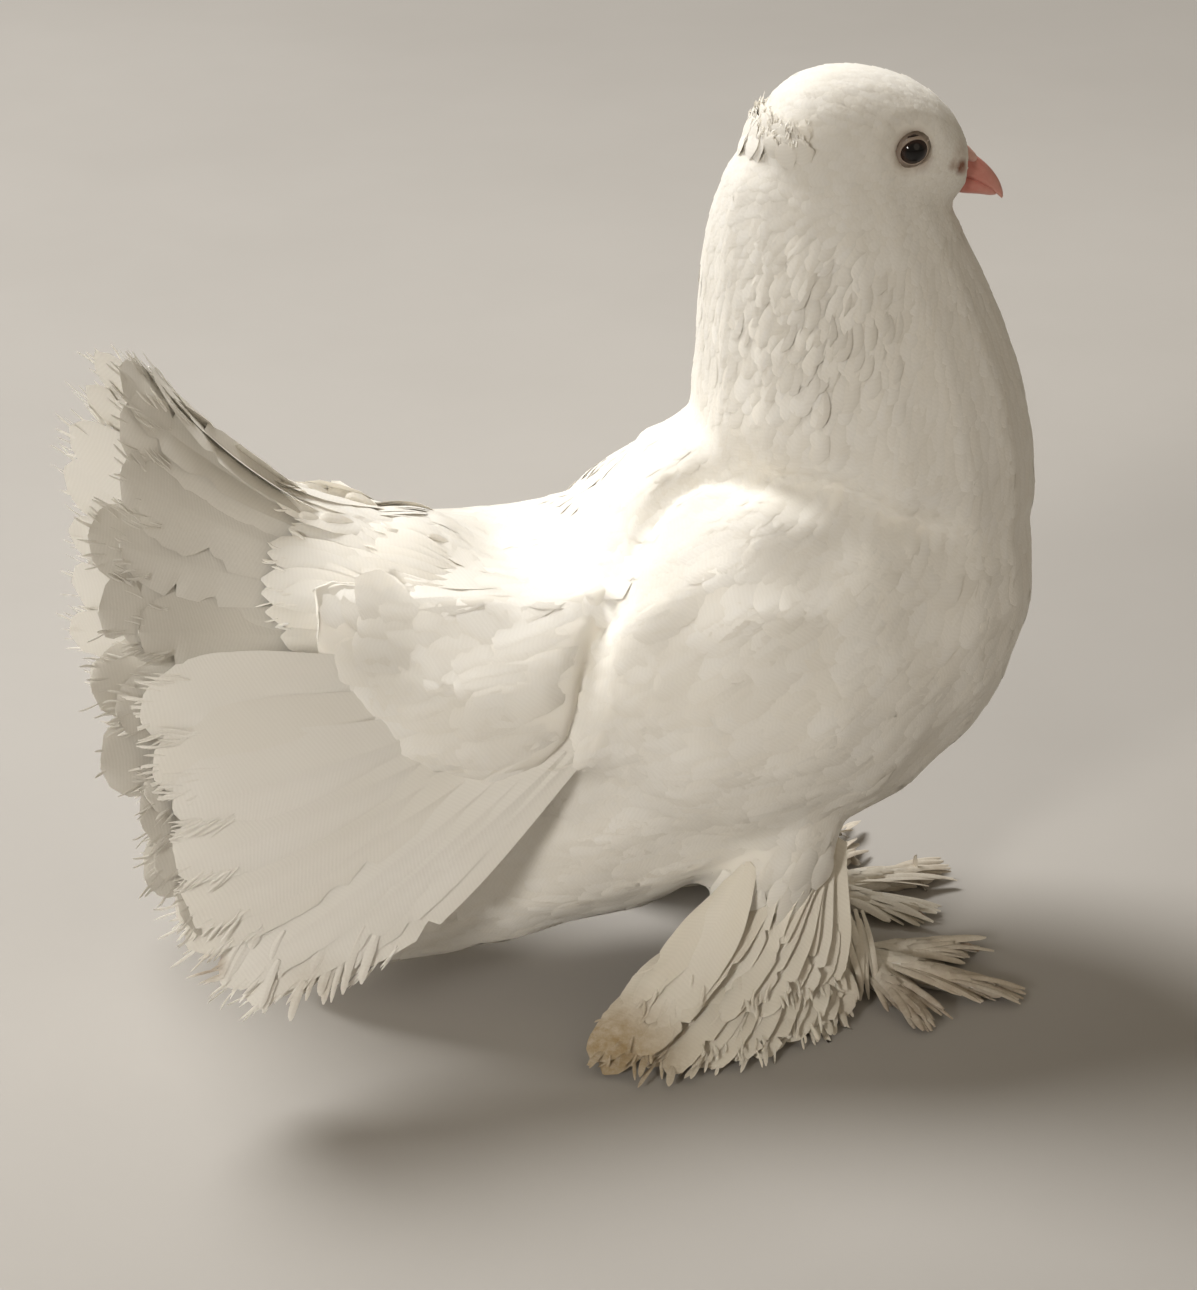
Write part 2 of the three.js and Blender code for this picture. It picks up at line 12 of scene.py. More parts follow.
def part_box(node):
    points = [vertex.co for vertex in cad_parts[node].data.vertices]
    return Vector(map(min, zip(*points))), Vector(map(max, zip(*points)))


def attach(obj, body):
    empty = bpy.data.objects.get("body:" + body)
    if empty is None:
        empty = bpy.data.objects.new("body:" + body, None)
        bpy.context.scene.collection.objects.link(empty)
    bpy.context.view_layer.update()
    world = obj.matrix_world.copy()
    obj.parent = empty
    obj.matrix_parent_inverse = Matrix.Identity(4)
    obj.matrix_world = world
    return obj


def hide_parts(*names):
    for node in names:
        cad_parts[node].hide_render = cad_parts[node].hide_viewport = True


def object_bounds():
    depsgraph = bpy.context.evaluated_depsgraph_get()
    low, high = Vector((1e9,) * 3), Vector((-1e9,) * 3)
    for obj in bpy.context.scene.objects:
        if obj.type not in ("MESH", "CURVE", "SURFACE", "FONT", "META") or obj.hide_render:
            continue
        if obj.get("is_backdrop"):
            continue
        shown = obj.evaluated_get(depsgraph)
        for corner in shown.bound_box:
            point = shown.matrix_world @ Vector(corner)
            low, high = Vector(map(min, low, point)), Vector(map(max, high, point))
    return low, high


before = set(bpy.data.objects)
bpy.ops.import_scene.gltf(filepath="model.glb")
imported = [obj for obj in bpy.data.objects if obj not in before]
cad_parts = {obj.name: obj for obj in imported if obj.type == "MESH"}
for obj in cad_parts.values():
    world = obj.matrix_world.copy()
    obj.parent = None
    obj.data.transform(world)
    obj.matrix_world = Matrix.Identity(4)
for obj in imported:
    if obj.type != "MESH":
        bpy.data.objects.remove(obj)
CAD_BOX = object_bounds()
T0 = time.time()
rng = np.random.default_rng(11)

# Sizes below are in millimetres at the scale of the drawing; LIFE brings them to life size.
LIFE = 1.05
EYE = np.array([11.6, 11.8, 251.4])
SOLE = 9.6
_e = [np.array(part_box(n)).mean(0) * 1000 for n in ("eye_left", "eye_right")]
POS = np.array([(_e[0][0] + _e[1][0]) / 2, (_e[0][1] + _e[1][1]) / 2, (_e[0][2] + _e[1][2]) / 2]) - LIFE * np.array([EYE[0], 0, EYE[2]])


def to_m(v):
    return (np.asarray(v, float).reshape(-1, 3) * LIFE + POS) / 1000


def from_m(v):
    return (np.asarray(v, float).reshape(-1, 3) * 1000 - POS) / LIFE


def unit(v):
    v = np.asarray(v, float)
    return v / np.maximum(np.linalg.norm(v, axis=-1, keepdims=True), 1e-9)


def smooth01(x):
    x = np.clip(x, 0, 1)
    return x * x * (3 - 2 * x)


def says(*a):
    print("[%.1f s]" % (time.time() - T0), *a)


# ---------------------------------------------------------------- materials
def material(name, base, rough, spec=0.35, sheen=0.0, sub=0.0):
    m = bpy.data.materials.new(name)
    m.use_nodes = True
    nt = m.node_tree
    b = nt.nodes["Principled BSDF"]
    b.inputs["Base Color"].default_value = (*base, 1)
    b.inputs["Roughness"].default_value = rough
    b.inputs["Specular IOR Level"].default_value = spec
    if sheen:
        b.inputs["Sheen Weight"].default_value = sheen
        b.inputs["Sheen Roughness"].default_value = 0.55
        b.inputs["Sheen Tint"].default_value = (1, 0.98, 0.94, 1)
    if sub:
        b.inputs["Subsurface Weight"].default_value = sub
        b.inputs["Subsurface Radius"].default_value = (1.0, 0.75, 0.5)
        b.inputs["Subsurface Scale"].default_value = 0.0025
    return m, nt, b


def node(nt, kind, **kw):
    n = nt.nodes.new(kind)
    for k, v in kw.items():
        setattr(n, k, v)
    return n


def math_node(nt, op, a, b=None, clamp=False):
    n = node(nt, "ShaderNodeMath", operation=op)
    n.use_clamp = clamp
    for i, x in enumerate((a, b)):
        if x is None:
            continue
        if isinstance(x, (int, float)):
            n.inputs[i].default_value = x
        else:
            nt.links.new(x, n.inputs[i])
    return n.outputs[0]


def mix_colour(nt, fac, a, b):
    n = node(nt, "ShaderNodeMix", data_type="RGBA")
    if isinstance(fac, (int, float)):
        n.inputs[0].default_value = fac
    else:
        nt.links.new(fac, n.inputs[0])
    for i, x in ((6, a), (7, b)):
        if isinstance(x, tuple):
            n.inputs[i].default_value = (*x, 1)
        else:
            nt.links.new(x, n.inputs[i])
    return n.outputs[2]


def noise(nt, scale, detail=3.0, rough=0.5, stretch=None):
    tc = node(nt, "ShaderNodeTexCoord")
    src = tc.outputs["Object"]
    if stretch:
        mp = node(nt, "ShaderNodeMapping")
        mp.inputs["Scale"].default_value = stretch
        nt.links.new(src, mp.inputs["Vector"])
        src = mp.outputs["Vector"]
    n = node(nt, "ShaderNodeTexNoise")
    n.inputs["Scale"].default_value = scale
    n.inputs["Detail"].default_value = detail
    n.inputs["Roughness"].default_value = rough
    nt.links.new(src, n.inputs["Vector"])
    return n.outputs["Fac"]


def bump(nt, bsdf, height, strength, distance):
    n = node(nt, "ShaderNodeBump")
    n.inputs["Strength"].default_value = strength
    n.inputs["Distance"].default_value = distance
    nt.links.new(height, n.inputs["Height"])
    nt.links.new(n.outputs["Normal"], bsdf.inputs["Normal"])


def near(nt, at, radius, soft):
    """1 close to a point (drawing mm), 0 away from it."""
    tc = node(nt, "ShaderNodeTexCoord")
    d = node(nt, "ShaderNodeVectorMath", operation="DISTANCE")
    nt.links.new(tc.outputs["Object"], d.inputs[0])
    d.inputs[1].default_value = tuple(to_m(at)[0])
    r0, r1 = radius * LIFE / 1000, soft * LIFE / 1000
    x = math_node(nt, "SUBTRACT", r0 + r1, d.outputs["Value"])
    return math_node(nt, "DIVIDE", x, r1, clamp=True)


WARM = (0.86, 0.815, 0.725)
WHITE = (0.93, 0.905, 0.85)


def plumage(name, light, shade, rough=0.62, barbs=0.3, dirt=None, sheen=0.12, sub=0.05, glow=0.0, root_shade_strength=0.5):
    """White feather: mottled warm white, barb lines from the feather's own coordinates, stains by place, and painted
    shade at the hidden root and the covered web.
    """
    m, nt, b = material(name, light, rough, 0.22, sheen, sub)
    at = node(nt, "ShaderNodeAttribute", attribute_name="fe")
    sp = node(nt, "ShaderNodeSeparateXYZ")
    nt.links.new(at.outputs["Vector"], sp.inputs[0])
    ph, rnd, t = sp.outputs
    wave = math_node(nt, "SINE", math_node(nt, "MULTIPLY", ph, 6.2832))
    big = noise(nt, 38, 3)
    fine = noise(nt, 900, 2)
    k = math_node(nt, "ADD", math_node(nt, "MULTIPLY", big, 0.75), math_node(nt, "MULTIPLY", rnd, 0.35), True)
    col = mix_colour(nt, k, light, shade)
    # painted shade: the hidden root and the covered web of a feather are painted a little greyer, standing in for the
    # shade of the feathers over them; its open edge stays lighter
    root = math_node(nt, "SUBTRACT", 0.55, t, True)
    col = mix_colour(nt, math_node(nt, "MULTIPLY", root, root_shade_strength, True), col, tuple((0.82 if root_shade_strength < .8 else 0.66) * c for c in shade))
    streak = math_node(nt, "MULTIPLY", math_node(nt, "ADD", wave, 1.0), 0.035, True)
    col = mix_colour(nt, streak, col, tuple(0.7 * c for c in shade))
    for at_, r, s, amount, tone in dirt or ():
        f = math_node(nt, "MULTIPLY", near(nt, at_, r, s), math_node(nt, "MULTIPLY", noise(nt, 260, 4, 0.7), 1.6 * amount), True)
        col = mix_colour(nt, f, col, tone)
    nt.links.new(col, b.inputs["Base Color"])
    rr = math_node(nt, "ADD", math_node(nt, "MULTIPLY", big, 0.16), rough - 0.08)
    nt.links.new(rr, b.inputs["Roughness"])
    h = math_node(nt, "ADD", math_node(nt, "MULTIPLY", wave, barbs), math_node(nt, "MULTIPLY", fine, 0.5))
    bump(nt, b, h, 0.35, 0.00022)
    if glow:      # thin vanes let some of the light behind them through
        tr = node(nt, "ShaderNodeBsdfTranslucent")
        nt.links.new(col, tr.inputs["Color"])
        mx = node(nt, "ShaderNodeMixShader")
        mx.inputs[0].default_value = glow
        out = nt.nodes["Material Output"]
        nt.links.new(b.outputs[0], mx.inputs[1])
        nt.links.new(tr.outputs[0], mx.inputs[2])
        nt.links.new(mx.outputs[0], out.inputs["Surface"])
    return m


GAPE = (0.24, 0.10, 0.06)
FACE_DIRT = []
for g in (-1, 1):
    FACE_DIRT += [((26.0, g * 8.2, 244.2), 1.0, 2.0, 1.2, GAPE), ((23.4, g * 9.8, 245.4), 0.5, 2.0, 1.0, (0.34, 0.19, 0.11)), ((27.0, g * 7.0, 242.8), 0.6, 1.6, 0.8, (0.40, 0.17, 0.10)),
                  ((25.6, g * 7.6, 248.2), 1.3, 3.0, 0.5, (0.50, 0.37, 0.28)), ((EYE[0] - 0.1, g * 15.4, EYE[2]), 4.9, 2.6, 0.75, (0.44, 0.36, 0.29)),
                  ((EYE[0] + 3.4, g * 13.6, EYE[2] - 3.4), 0.8, 3.2, 0.5, (0.42, 0.32, 0.25))]
TIP_DIRT = [((-84, -60, 12), 10, 17, 0.85, (0.36, 0.24, 0.10)), ((-78, 60, 12), 8, 15, 0.7, (0.38, 0.26, 0.12)), ((-70, -66, 10), 5, 14, 0.5, (0.42, 0.31, 0.17))]
TOE_DIRT = [((36, -46, 10), 10, 22, 0.55, (0.44, 0.33, 0.21)), ((8, -52, 10), 8, 17, 0.65, (0.34, 0.24, 0.15)), ((26, -24, 10), 8, 16, 0.4, (0.45, 0.35, 0.24)),
            ((34, 30, 10), 8, 18, 0.45, (0.45, 0.35, 0.24)), ((18, 52, 10), 8, 18, 0.45, (0.42, 0.32, 0.21))]
TAIL_DIRT = [((-188, -55, 52), 1.5, 5, 0.8, (0.34, 0.23, 0.13)), ((-160, -54, 42), 3, 10, 0.3, (0.5, 0.42, 0.3))]

# the last argument of the tail and muff materials sets how strongly shade is painted at feather roots and covered webs
M_BODY = plumage("mat_body_feathers", WHITE, WARM, 0.72, 0.05, sub=0.12)
M_FACE = plumage("mat_face_feathers", WHITE, WARM, 0.72, 0.05, dirt=FACE_DIRT, sub=0.12)
M_TAIL = plumage("mat_flight_feathers", (0.93, 0.91, 0.865), (0.88, 0.845, 0.77), 0.55, 0.10, dirt=TAIL_DIRT, sheen=0.06, sub=0.0, glow=0.12, root_shade_strength=0.35)
M_MUFF = plumage("mat_muff_feathers", (0.90, 0.87, 0.80), (0.80, 0.74, 0.62), 0.62, 0.10, dirt=TIP_DIRT + TOE_DIRT, sub=0.0, glow=0.15, root_shade_strength=1.0)
M_SKIN = plumage("mat_skin_down", WHITE, tuple(0.94 * c for c in WARM), 0.8, 0.0, dirt=FACE_DIRT)


def horn(name, root, tip, x0, x1, rough, spec=0.5):
    """Bill or claw horn: colour runs from root to tip along X, with growth lines and fine scuffs."""
    m, nt, b = material(name, root, rough, spec, 0.0, 0.18)
    tc = node(nt, "ShaderNodeTexCoord")
    sp = node(nt, "ShaderNodeSeparateXYZ")
    nt.links.new(tc.outputs["Object"], sp.inputs[0])
    a, c = to_m((x0, 0, 0))[0][0], to_m((x1, 0, 0))[0][0]
    f = math_node(nt, "DIVIDE", math_node(nt, "SUBTRACT", sp.outputs[0], float(a)), float(c - a), True)
    n = noise(nt, 420, 4, 0.6)
    f2 = math_node(nt, "ADD", math_node(nt, "MULTIPLY", f, 0.8), math_node(nt, "MULTIPLY", math_node(nt, "SUBTRACT", n, 0.5), 0.7), True)
    col = mix_colour(nt, f2, root, tip)
    col = mix_colour(nt, math_node(nt, "MULTIPLY", noise(nt, 150, 3), 0.25, True), col, tuple(0.62 * x for x in root))
    nt.links.new(col, b.inputs["Base Color"])
    lines = noise(nt, 600, 3, 0.6, (0.6, 3.0, 3.0))
    nt.links.new(math_node(nt, "ADD", math_node(nt, "MULTIPLY", n, 0.22), rough - 0.1), b.inputs["Roughness"])
    bump(nt, b, lines, 0.3, 0.00015)
    return m


M_BILL = horn("mat_bill_horn", (0.62, 0.20, 0.165), (0.74, 0.40, 0.33), 27, 41, 0.36)
M_CERE = horn("mat_cere", (0.72, 0.40, 0.34), (0.76, 0.52, 0.45), 27, 33, 0.6, 0.3)
M_CLAW = horn("mat_claw_horn", (0.42, 0.30, 0.23), (0.62, 0.50, 0.42), 0, 60, 0.42)
M_LID = horn("mat_eye_lid", (0.34, 0.26, 0.21), (0.54, 0.45, 0.37), 5, 18, 0.6, 0.25)


def eye_material():
    m, nt, b = material("mat_eye", (0.012, 0.006, 0.004), 0.10, 0.4)
    at = node(nt, "ShaderNodeAttribute", attribute_name="fe")
    sp = node(nt, "ShaderNodeSeparateXYZ")
    nt.links.new(at.outputs["Vector"], sp.inputs[0])
    n = noise(nt, 1500, 4, 0.7)
    # a black-brown pupil in a very dark brown iris, with faint rays
    edge = math_node(nt, "MULTIPLY", math_node(nt, "SUBTRACT", sp.outputs[0], 0.52), 7.0, True)
    col = mix_colour(nt, math_node(nt, "MULTIPLY", edge, math_node(nt, "MULTIPLY", n, 1.5), True), (0.004, 0.003, 0.003), (0.030, 0.012, 0.007))
    nt.links.new(col, b.inputs["Base Color"])
    return m


M_EYE = eye_material()


# ---------------------------------------------------------------- mesh helpers
PIECES = []


def piece(name, v, faces, mat, fe=None, uv=None, smooth=True, sharp=None, ofuv=True):
    me = bpy.data.meshes.new(name)
    me.from_pydata(to_m(v).tolist(), [], faces)
    me.update()
    me.polygons.foreach_set("use_smooth", np.full(len(me.polygons), smooth))
    if sharp:
        me.set_sharp_from_angle(angle=math.radians(sharp))
    if fe is not None:
        a = me.attributes.new("fe", "FLOAT_VECTOR", "POINT")
        a.data.foreach_set("vector", np.asarray(fe, np.float32).ravel())
    if ofuv:
        if uv is None:
            uv = smart_planar(np.asarray(v, float))
        idx = np.empty(len(me.loops), np.int32)
        me.loops.foreach_get("vertex_index", idx)
        layer = me.uv_layers.new(name="OFBake")
        layer.data.foreach_set("uv", np.asarray(uv, np.float32)[idx].ravel())
    me.materials.append(mat)
    o = bpy.data.objects.new(name, me)
    bpy.context.scene.collection.objects.link(o)
    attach(o, "root")
    PIECES.append(o)
    return o


def smart_planar(v):
    lo, hi = v.min(0), v.max(0)
    k = np.maximum(hi - lo, 1e-6)
    q = (v - lo) / k.max()
    return np.stack([q[:, 0] * 0.5 + 0.02, (q[:, 2] + q[:, 1]) * 0.5 * 0.48 + 0.02], 1)


def mesh_arrays(o):
    me = o.data
    v = np.empty(len(me.vertices) * 3, np.float32)
    me.vertices.foreach_get("co", v)
    me.calc_loop_triangles()
    f = np.empty(len(me.loop_triangles) * 3, np.int32)
    me.loop_triangles.foreach_get("vertices", f)
    v = from_m(v)
    f = f.reshape(-1, 3)
    _, first, inv = np.unique(np.round(v, 3), axis=0, return_index=True, return_inverse=True)
    v, f = v[first], inv.reshape(-1)[f]
    f = f[(f[:, 0] != f[:, 1]) & (f[:, 1] != f[:, 2]) & (f[:, 0] != f[:, 2])]
    return v, f


def vertex_normals(v, f):
    if f.shape[1] == 4:
        n = np.cross(v[f[:, 2]] - v[f[:, 0]], v[f[:, 3]] - v[f[:, 1]])
    else:
        n = np.cross(v[f[:, 1]] - v[f[:, 0]], v[f[:, 2]] - v[f[:, 0]])
    out = np.zeros_like(v)
    for k in range(f.shape[1]):
        for c in range(3):
            out[:, c] += np.bincount(f[:, k], n[:, c], minlength=len(v))
    return unit(out)


class Smoother:
    """Averages over each vertex's neighbours."""

    def __init__(self, f, n):
        k = f.shape[1]
        e = np.concatenate([np.stack([f[:, i], f[:, (i + 1) % k]], 1) for i in range(k)])
        e = np.concatenate([e, e[:, ::-1]])
        e = np.unique(e, axis=0)
        self.dst = e[:, 1]
        self.start = np.searchsorted(e[:, 0], np.arange(n))
        self.count = np.bincount(e[:, 0], minlength=n)
        self.e = e

    def mean(self, x):
        return np.add.reduceat(x[self.dst], self.start, axis=0) / self.count.reshape((-1,) + (1,) * (x.ndim - 1))


# ---------------------------------------------------------------- the skin
FLESH = ["head", "neck", "trunk", "rump"] + [p + s for p in ("wing_", "thigh_", "shank_", "foot_") for s in ("left", "right")]
GROW = {"neck": 1.0, "trunk": 2.2, "rump": 2.2, "wing": 2.2}
SRC = {}
allv, allf, allid = [], [], []
off = 0
for i, nme in enumerate(FLESH + ["eye_left", "eye_right"]):
    v, f = mesh_arrays(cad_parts[nme])
    SRC[nme] = (v, f)
    grow = v + vertex_normals(v, f) * GROW.get(nme.split("_")[0], 0.4)
    allv.append(grow); allf.append(f + off); allid.append(np.full(len(f), i)); off += len(v)


def scatter(name, count):
    v, f = SRC[name]
    ar = np.linalg.norm(np.cross(v[f[:, 1]] - v[f[:, 0]], v[f[:, 2]] - v[f[:, 0]]), axis=1)
    k = rng.choice(len(f), count, p=ar / ar.sum())
    a, b = rng.random(count), rng.random(count)
    m_ = a + b > 1
    a[m_], b[m_] = 1 - a[m_], 1 - b[m_]
    return v[f[k, 0]] + a[:, None] * (v[f[k, 1]] - v[f[k, 0]]) + b[:, None] * (v[f[k, 2]] - v[f[k, 0]])


# the plumage bridges the groove between the folded wing and the rump: hulls of short slices of both
for g, sn in ((-1, "right"), (1, "left")):
    cloud = np.concatenate([scatter("wing_" + sn, 5000), scatter("rump", 5000), scatter("trunk", 9000)])
    cloud = cloud[(cloud[:, 2] > 112) & (cloud[:, 1] * g > 0)]
    for x0 in range(-126, -48, 9):
        part = cloud[(cloud[:, 0] > x0) & (cloud[:, 0] < x0 + 14)]
        if len(part) < 60:
            continue
        bm = bmesh.new()
        for q in part:
            bm.verts.new(q)
        r = bmesh.ops.convex_hull(bm, input=bm.verts)
        bmesh.ops.delete(bm, geom=[x for x in bm.verts if not x.link_faces], context="VERTS")
        bmesh.ops.triangulate(bm, faces=bm.faces)
        bm.verts.index_update()
        hv = np.array([x.co[:] for x in bm.verts]); hf = np.array([[x.index for x in fc.verts] for fc in bm.faces])
        bm.free()
        mid = hv.mean(0)
        allv.append(hv + unit(hv - mid) * 1.6); allf.append(hf + off); allid.append(np.full(len(hf), FLESH.index("wing_" + sn))); off += len(hv)
allv, allf, allid = np.concatenate(allv), np.concatenate(allf), np.concatenate(allid)
VOXEL = 1.35
me = bpy.data.meshes.new("tmp")
me.from_pydata(allv.tolist(), [], allf.tolist())
me.update()
tmp = bpy.data.objects.new("tmp", me)
bpy.context.scene.collection.objects.link(tmp)
md = tmp.modifiers.new("r", "REMESH")
md.mode = "VOXEL"; md.voxel_size = VOXEL; md.adaptivity = 0
dg = bpy.context.evaluated_depsgraph_get()
m2 = bpy.data.meshes.new_from_object(tmp.evaluated_get(dg))
SV = np.empty(len(m2.vertices) * 3, np.float32); m2.vertices.foreach_get("co", SV); SV = SV.reshape(-1, 3).astype(float)
SF = np.empty(len(m2.loops), np.int32); m2.loops.foreach_get("vertex_index", SF); SF = SF.reshape(-1, 4)
bpy.data.objects.remove(tmp); bpy.data.meshes.remove(me); bpy.data.meshes.remove(m2)

# keep the one outer surface
lab = np.arange(len(SV))
ed = np.concatenate([SF[:, [0, 1]], SF[:, [1, 2]], SF[:, [2, 3]], SF[:, [3, 0]]])
for _ in range(400):
    m_ = np.minimum(lab[ed[:, 0]], lab[ed[:, 1]])
    new = lab.copy()
    np.minimum.at(new, ed[:, 0], m_); np.minimum.at(new, ed[:, 1], m_)
    new = new[new]
    if (new == lab).all():
        break
    lab = new
big = np.bincount(lab).argmax()
keep = lab == big
ren = np.cumsum(keep) - 1
SF = ren[SF[keep[SF[:, 0]]]]
SV = SV[keep]
says("skin", len(SV), "vertices")

srcb = BVHTree.FromPolygons(allv.tolist(), allf.tolist())
LAB = np.array([allid[srcb.find_nearest(p)[2]] for p in SV.tolist()])
NAMES = FLESH + ["eye_left", "eye_right"]
kind = np.array([n.split("_")[0] for n in NAMES])[LAB]
kind[kind == "eye"] = "head"
SM = Smoother(SF, len(SV))
ITS = {"head": 34, "neck": 110, "trunk": 150, "rump": 150, "wing": 150, "thigh": 70, "shank": 14, "foot": 5}
sc = (1.35 / VOXEL) ** 2
its = np.array([ITS[k] * sc for k in kind])
for _ in range(6):
    its = SM.mean(its)
for i in range(int(150 * sc)):
    w = np.clip(its - i, 0, 1)[:, None]
    SV = SV + 0.5 * w * (SM.mean(SV) - SV)
    SV = SV - 0.508 * w * (SM.mean(SV) - SV)
SN = vertex_normals(SV, SF)
says("smoothed")


def line_distance(P, line):
    best = np.full(len(P), 1e9); side = np.zeros(len(P)); along = np.zeros(len(P))
    for i in range(len(line) - 1):
        a, b = line[i], line[i + 1]
        d = b - a
        t = np.clip(((P - a) @ d) / (d @ d), 0, 1)
        q = P - (a + t[:, None] * d)
        r = np.linalg.norm(q, axis=1)
        k = r < best
        best[k] = r[k]; side[k] = q[k, 2]; along[k] = (i + t[k]) / (len(line) - 1)
    return best, side, along


NECK_CREASE = np.array([(-72, 35, 142), (-64, 24, 151), (-56, 19, 160), (-45, 20, 167), (-30, 30, 168), (-13, 39, 167), (3, 42, 158), (16, 41, 154), (33, 37, 142)], float)
WING_CREASE = np.array([(-70, 33, 143), (-79, 43, 131), (-83, 50, 117.5), (-86, 52, 105), (-92, 51, 95)], float)
DEPTH = {"head": .75, "neck": 1.7, "trunk": 3.0, "rump": 3.0, "wing": 2.9, "thigh": 1.5, "shank": 1.0, "foot": 0.5}
depth = np.array([DEPTH[k] for k in kind])
for _ in range(10):
    depth = SM.mean(depth)
FINAL = SV - SN * (depth - .6)[:, None]
disp = np.zeros(len(SV))
for g in (-1, 1):
    ln = NECK_CREASE * [1, g, 1]
    d, s, al = line_distance(FINAL, ln)
    d = np.sqrt(np.maximum(d ** 2 - 1.2 ** 2, 0))
    fade = smooth01((1 - al) * 5) * smooth01(al * 3.5 + .25)
    disp += fade * (-3.4 * np.exp(-(d / 2.8) ** 2) + 1.5 * np.exp(-((d - 11) / 8) ** 2))
    ln = WING_CREASE * [1, g, 1]
    d, s, al = line_distance(FINAL, ln)
    d = np.sqrt(np.maximum(d ** 2 - 1.2 ** 2, 0))
    fade = smooth01(al * 4 + .2)
    front = np.interp(SV[:, 2], WING_CREASE[::-1, 2], WING_CREASE[::-1, 0]) < SV[:, 0]
    disp += fade * (-3.8 * np.exp(-(d / 2.8) ** 2) + np.where(front, 2.2 * np.exp(-((d - 11) / 9) ** 2), -1.5 * np.exp(-((d - 2) / 8) ** 2)))
# soft lumps of the loose plumage
lump = np.zeros(len(SV))
for kx, ky, kz, p in ((.11, .03, .09, .3), (.05, .09, .13, 1.7), (.16, .05, -.07, 4.1), (-.08, .12, .15, 2.2)):
    lump += np.sin(SV @ np.array([kx, ky, kz]) * 1.15 + p)
body = np.isin(kind, ["trunk", "rump", "wing", "thigh"]).astype(float)
for _ in range(8):
    body = SM.mean(body)
disp += 0.34 * lump * body
SV = SV + SN * (disp - depth)[:, None]
# the socket: the skin dips inside the eyeball, with a soft brow above and a fold below
for g in (-1, 1):
    c = EYE * [1, g, 1]
    q = SV - c
    r = np.hypot(q[:, 0], q[:, 2])
    k = (SV[:, 1] * g > 6) & (r < 12)
    dip = 3.4 * (1 - smooth01((r - 3.6) / 1.9)) + 0.5 * np.exp(-((r - 7.2) / 1.8) ** 2) - 0.55 * np.exp(-((r - 9.6) / 1.8) ** 2) * (q[:, 2] > 0)
    SV[k, 1] -= (g * dip)[k]
SV[:, 2] = np.maximum(SV[:, 2], SOLE + 0.25)
for _ in range(2):
    SV = SV + 0.35 * (SM.mean(SV) - SV)
SN = vertex_normals(SV, SF)
FN = unit(SN[SF].mean(1))
FC = SV[SF].mean(1)
FAREA = 0.5 * np.linalg.norm(np.cross(SV[SF[:, 2]] - SV[SF[:, 0]], SV[SF[:, 3]] - SV[SF[:, 1]]), axis=1)
FK = kind[SF[:, 0]]
BVH = BVHTree.FromPolygons(SV.tolist(), SF.tolist())
says("sculpted")


def snap(P):
    L = np.empty_like(P); I = np.empty(len(P), np.int64)
    fn = BVH.find_nearest
    for i, p in enumerate(P.tolist()):
        r = fn(p)
        L[i] = r[0]; I[i] = r[2]
    return L, FN[I], I


# the skin as a piece, unwrapped by its own shape
skin = piece("skin", SV, SF.tolist(), M_SKIN, fe=np.tile([0, .5, .8], (len(SV), 1)), ofuv=False)
bpy.context.view_layer.objects.active = skin
skin.select_set(True)
bpy.ops.object.mode_set(mode="EDIT")
bpy.ops.mesh.select_all(action="SELECT")
bpy.ops.uv.smart_project(angle_limit=math.radians(66), island_margin=0.002)
bpy.ops.object.mode_set(mode="OBJECT")
skin.select_set(False)
skin.data.uv_layers[0].name = "OFBake"
uvs = np.empty(len(skin.data.loops) * 2, np.float32)
skin.data.uv_layers[0].data.foreach_get("uv", uvs)
FUV = uvs.reshape(-1, 4, 2).mean(1)
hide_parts(*FLESH)
says("unwrapped")

# ---------------------------------------------------------------- the lie of the coat
# place (|y|) and direction of lie
LIE = np.array([
    (-5, 30, 215, -.25, .05, -1), (-8, 28, 235, -.7, 0, -.7), (30, 0, 205, -.05, 0, -1), (-38, 0, 205, -.1, 0, -1), (-42, 10, 180, -.5, .1, -1), (0, 40, 175, -.2, .05, -1), (30, 34, 180, -.05, .05, -1),
    (60, 0, 150, -.1, 0, -1), (42, 45, 135, -.45, .1, -.9), (62, 0, 110, -.35, 0, -.95), (22, 58, 118, -.8, 0, -.6), (40, 25, 75, -.9, 0, -.5),
    (-10, 55, 85, -1, 0, -.3), (-20, 0, 58, -1, 0, .0), (-70, 0, 60, -1, 0, .08), (-32, 60, 125, -.85, .1, -.5), (-50, 40, 152, -1, .1, -.25), (-20, 42, 150, -.85, .2, -.5),
    (-62, 0, 165, -1, 0, -.45), (-90, 0, 147, -1, 0, -.05), (-110, 50, 122, -1, 0, -.06), (-100, 50, 98, -1, 0, -.32), (-130, 0, 150, -1, 0, .55),
    (-132, 34, 130, -1, .1, .1), (-120, 0, 88, -1, 0, -.15), (-60, 45, 80, -1, 0, -.1), (-80, 52, 112, -1, 0, -.2),
], float)
LIE_D = unit(LIE[:, 3:])


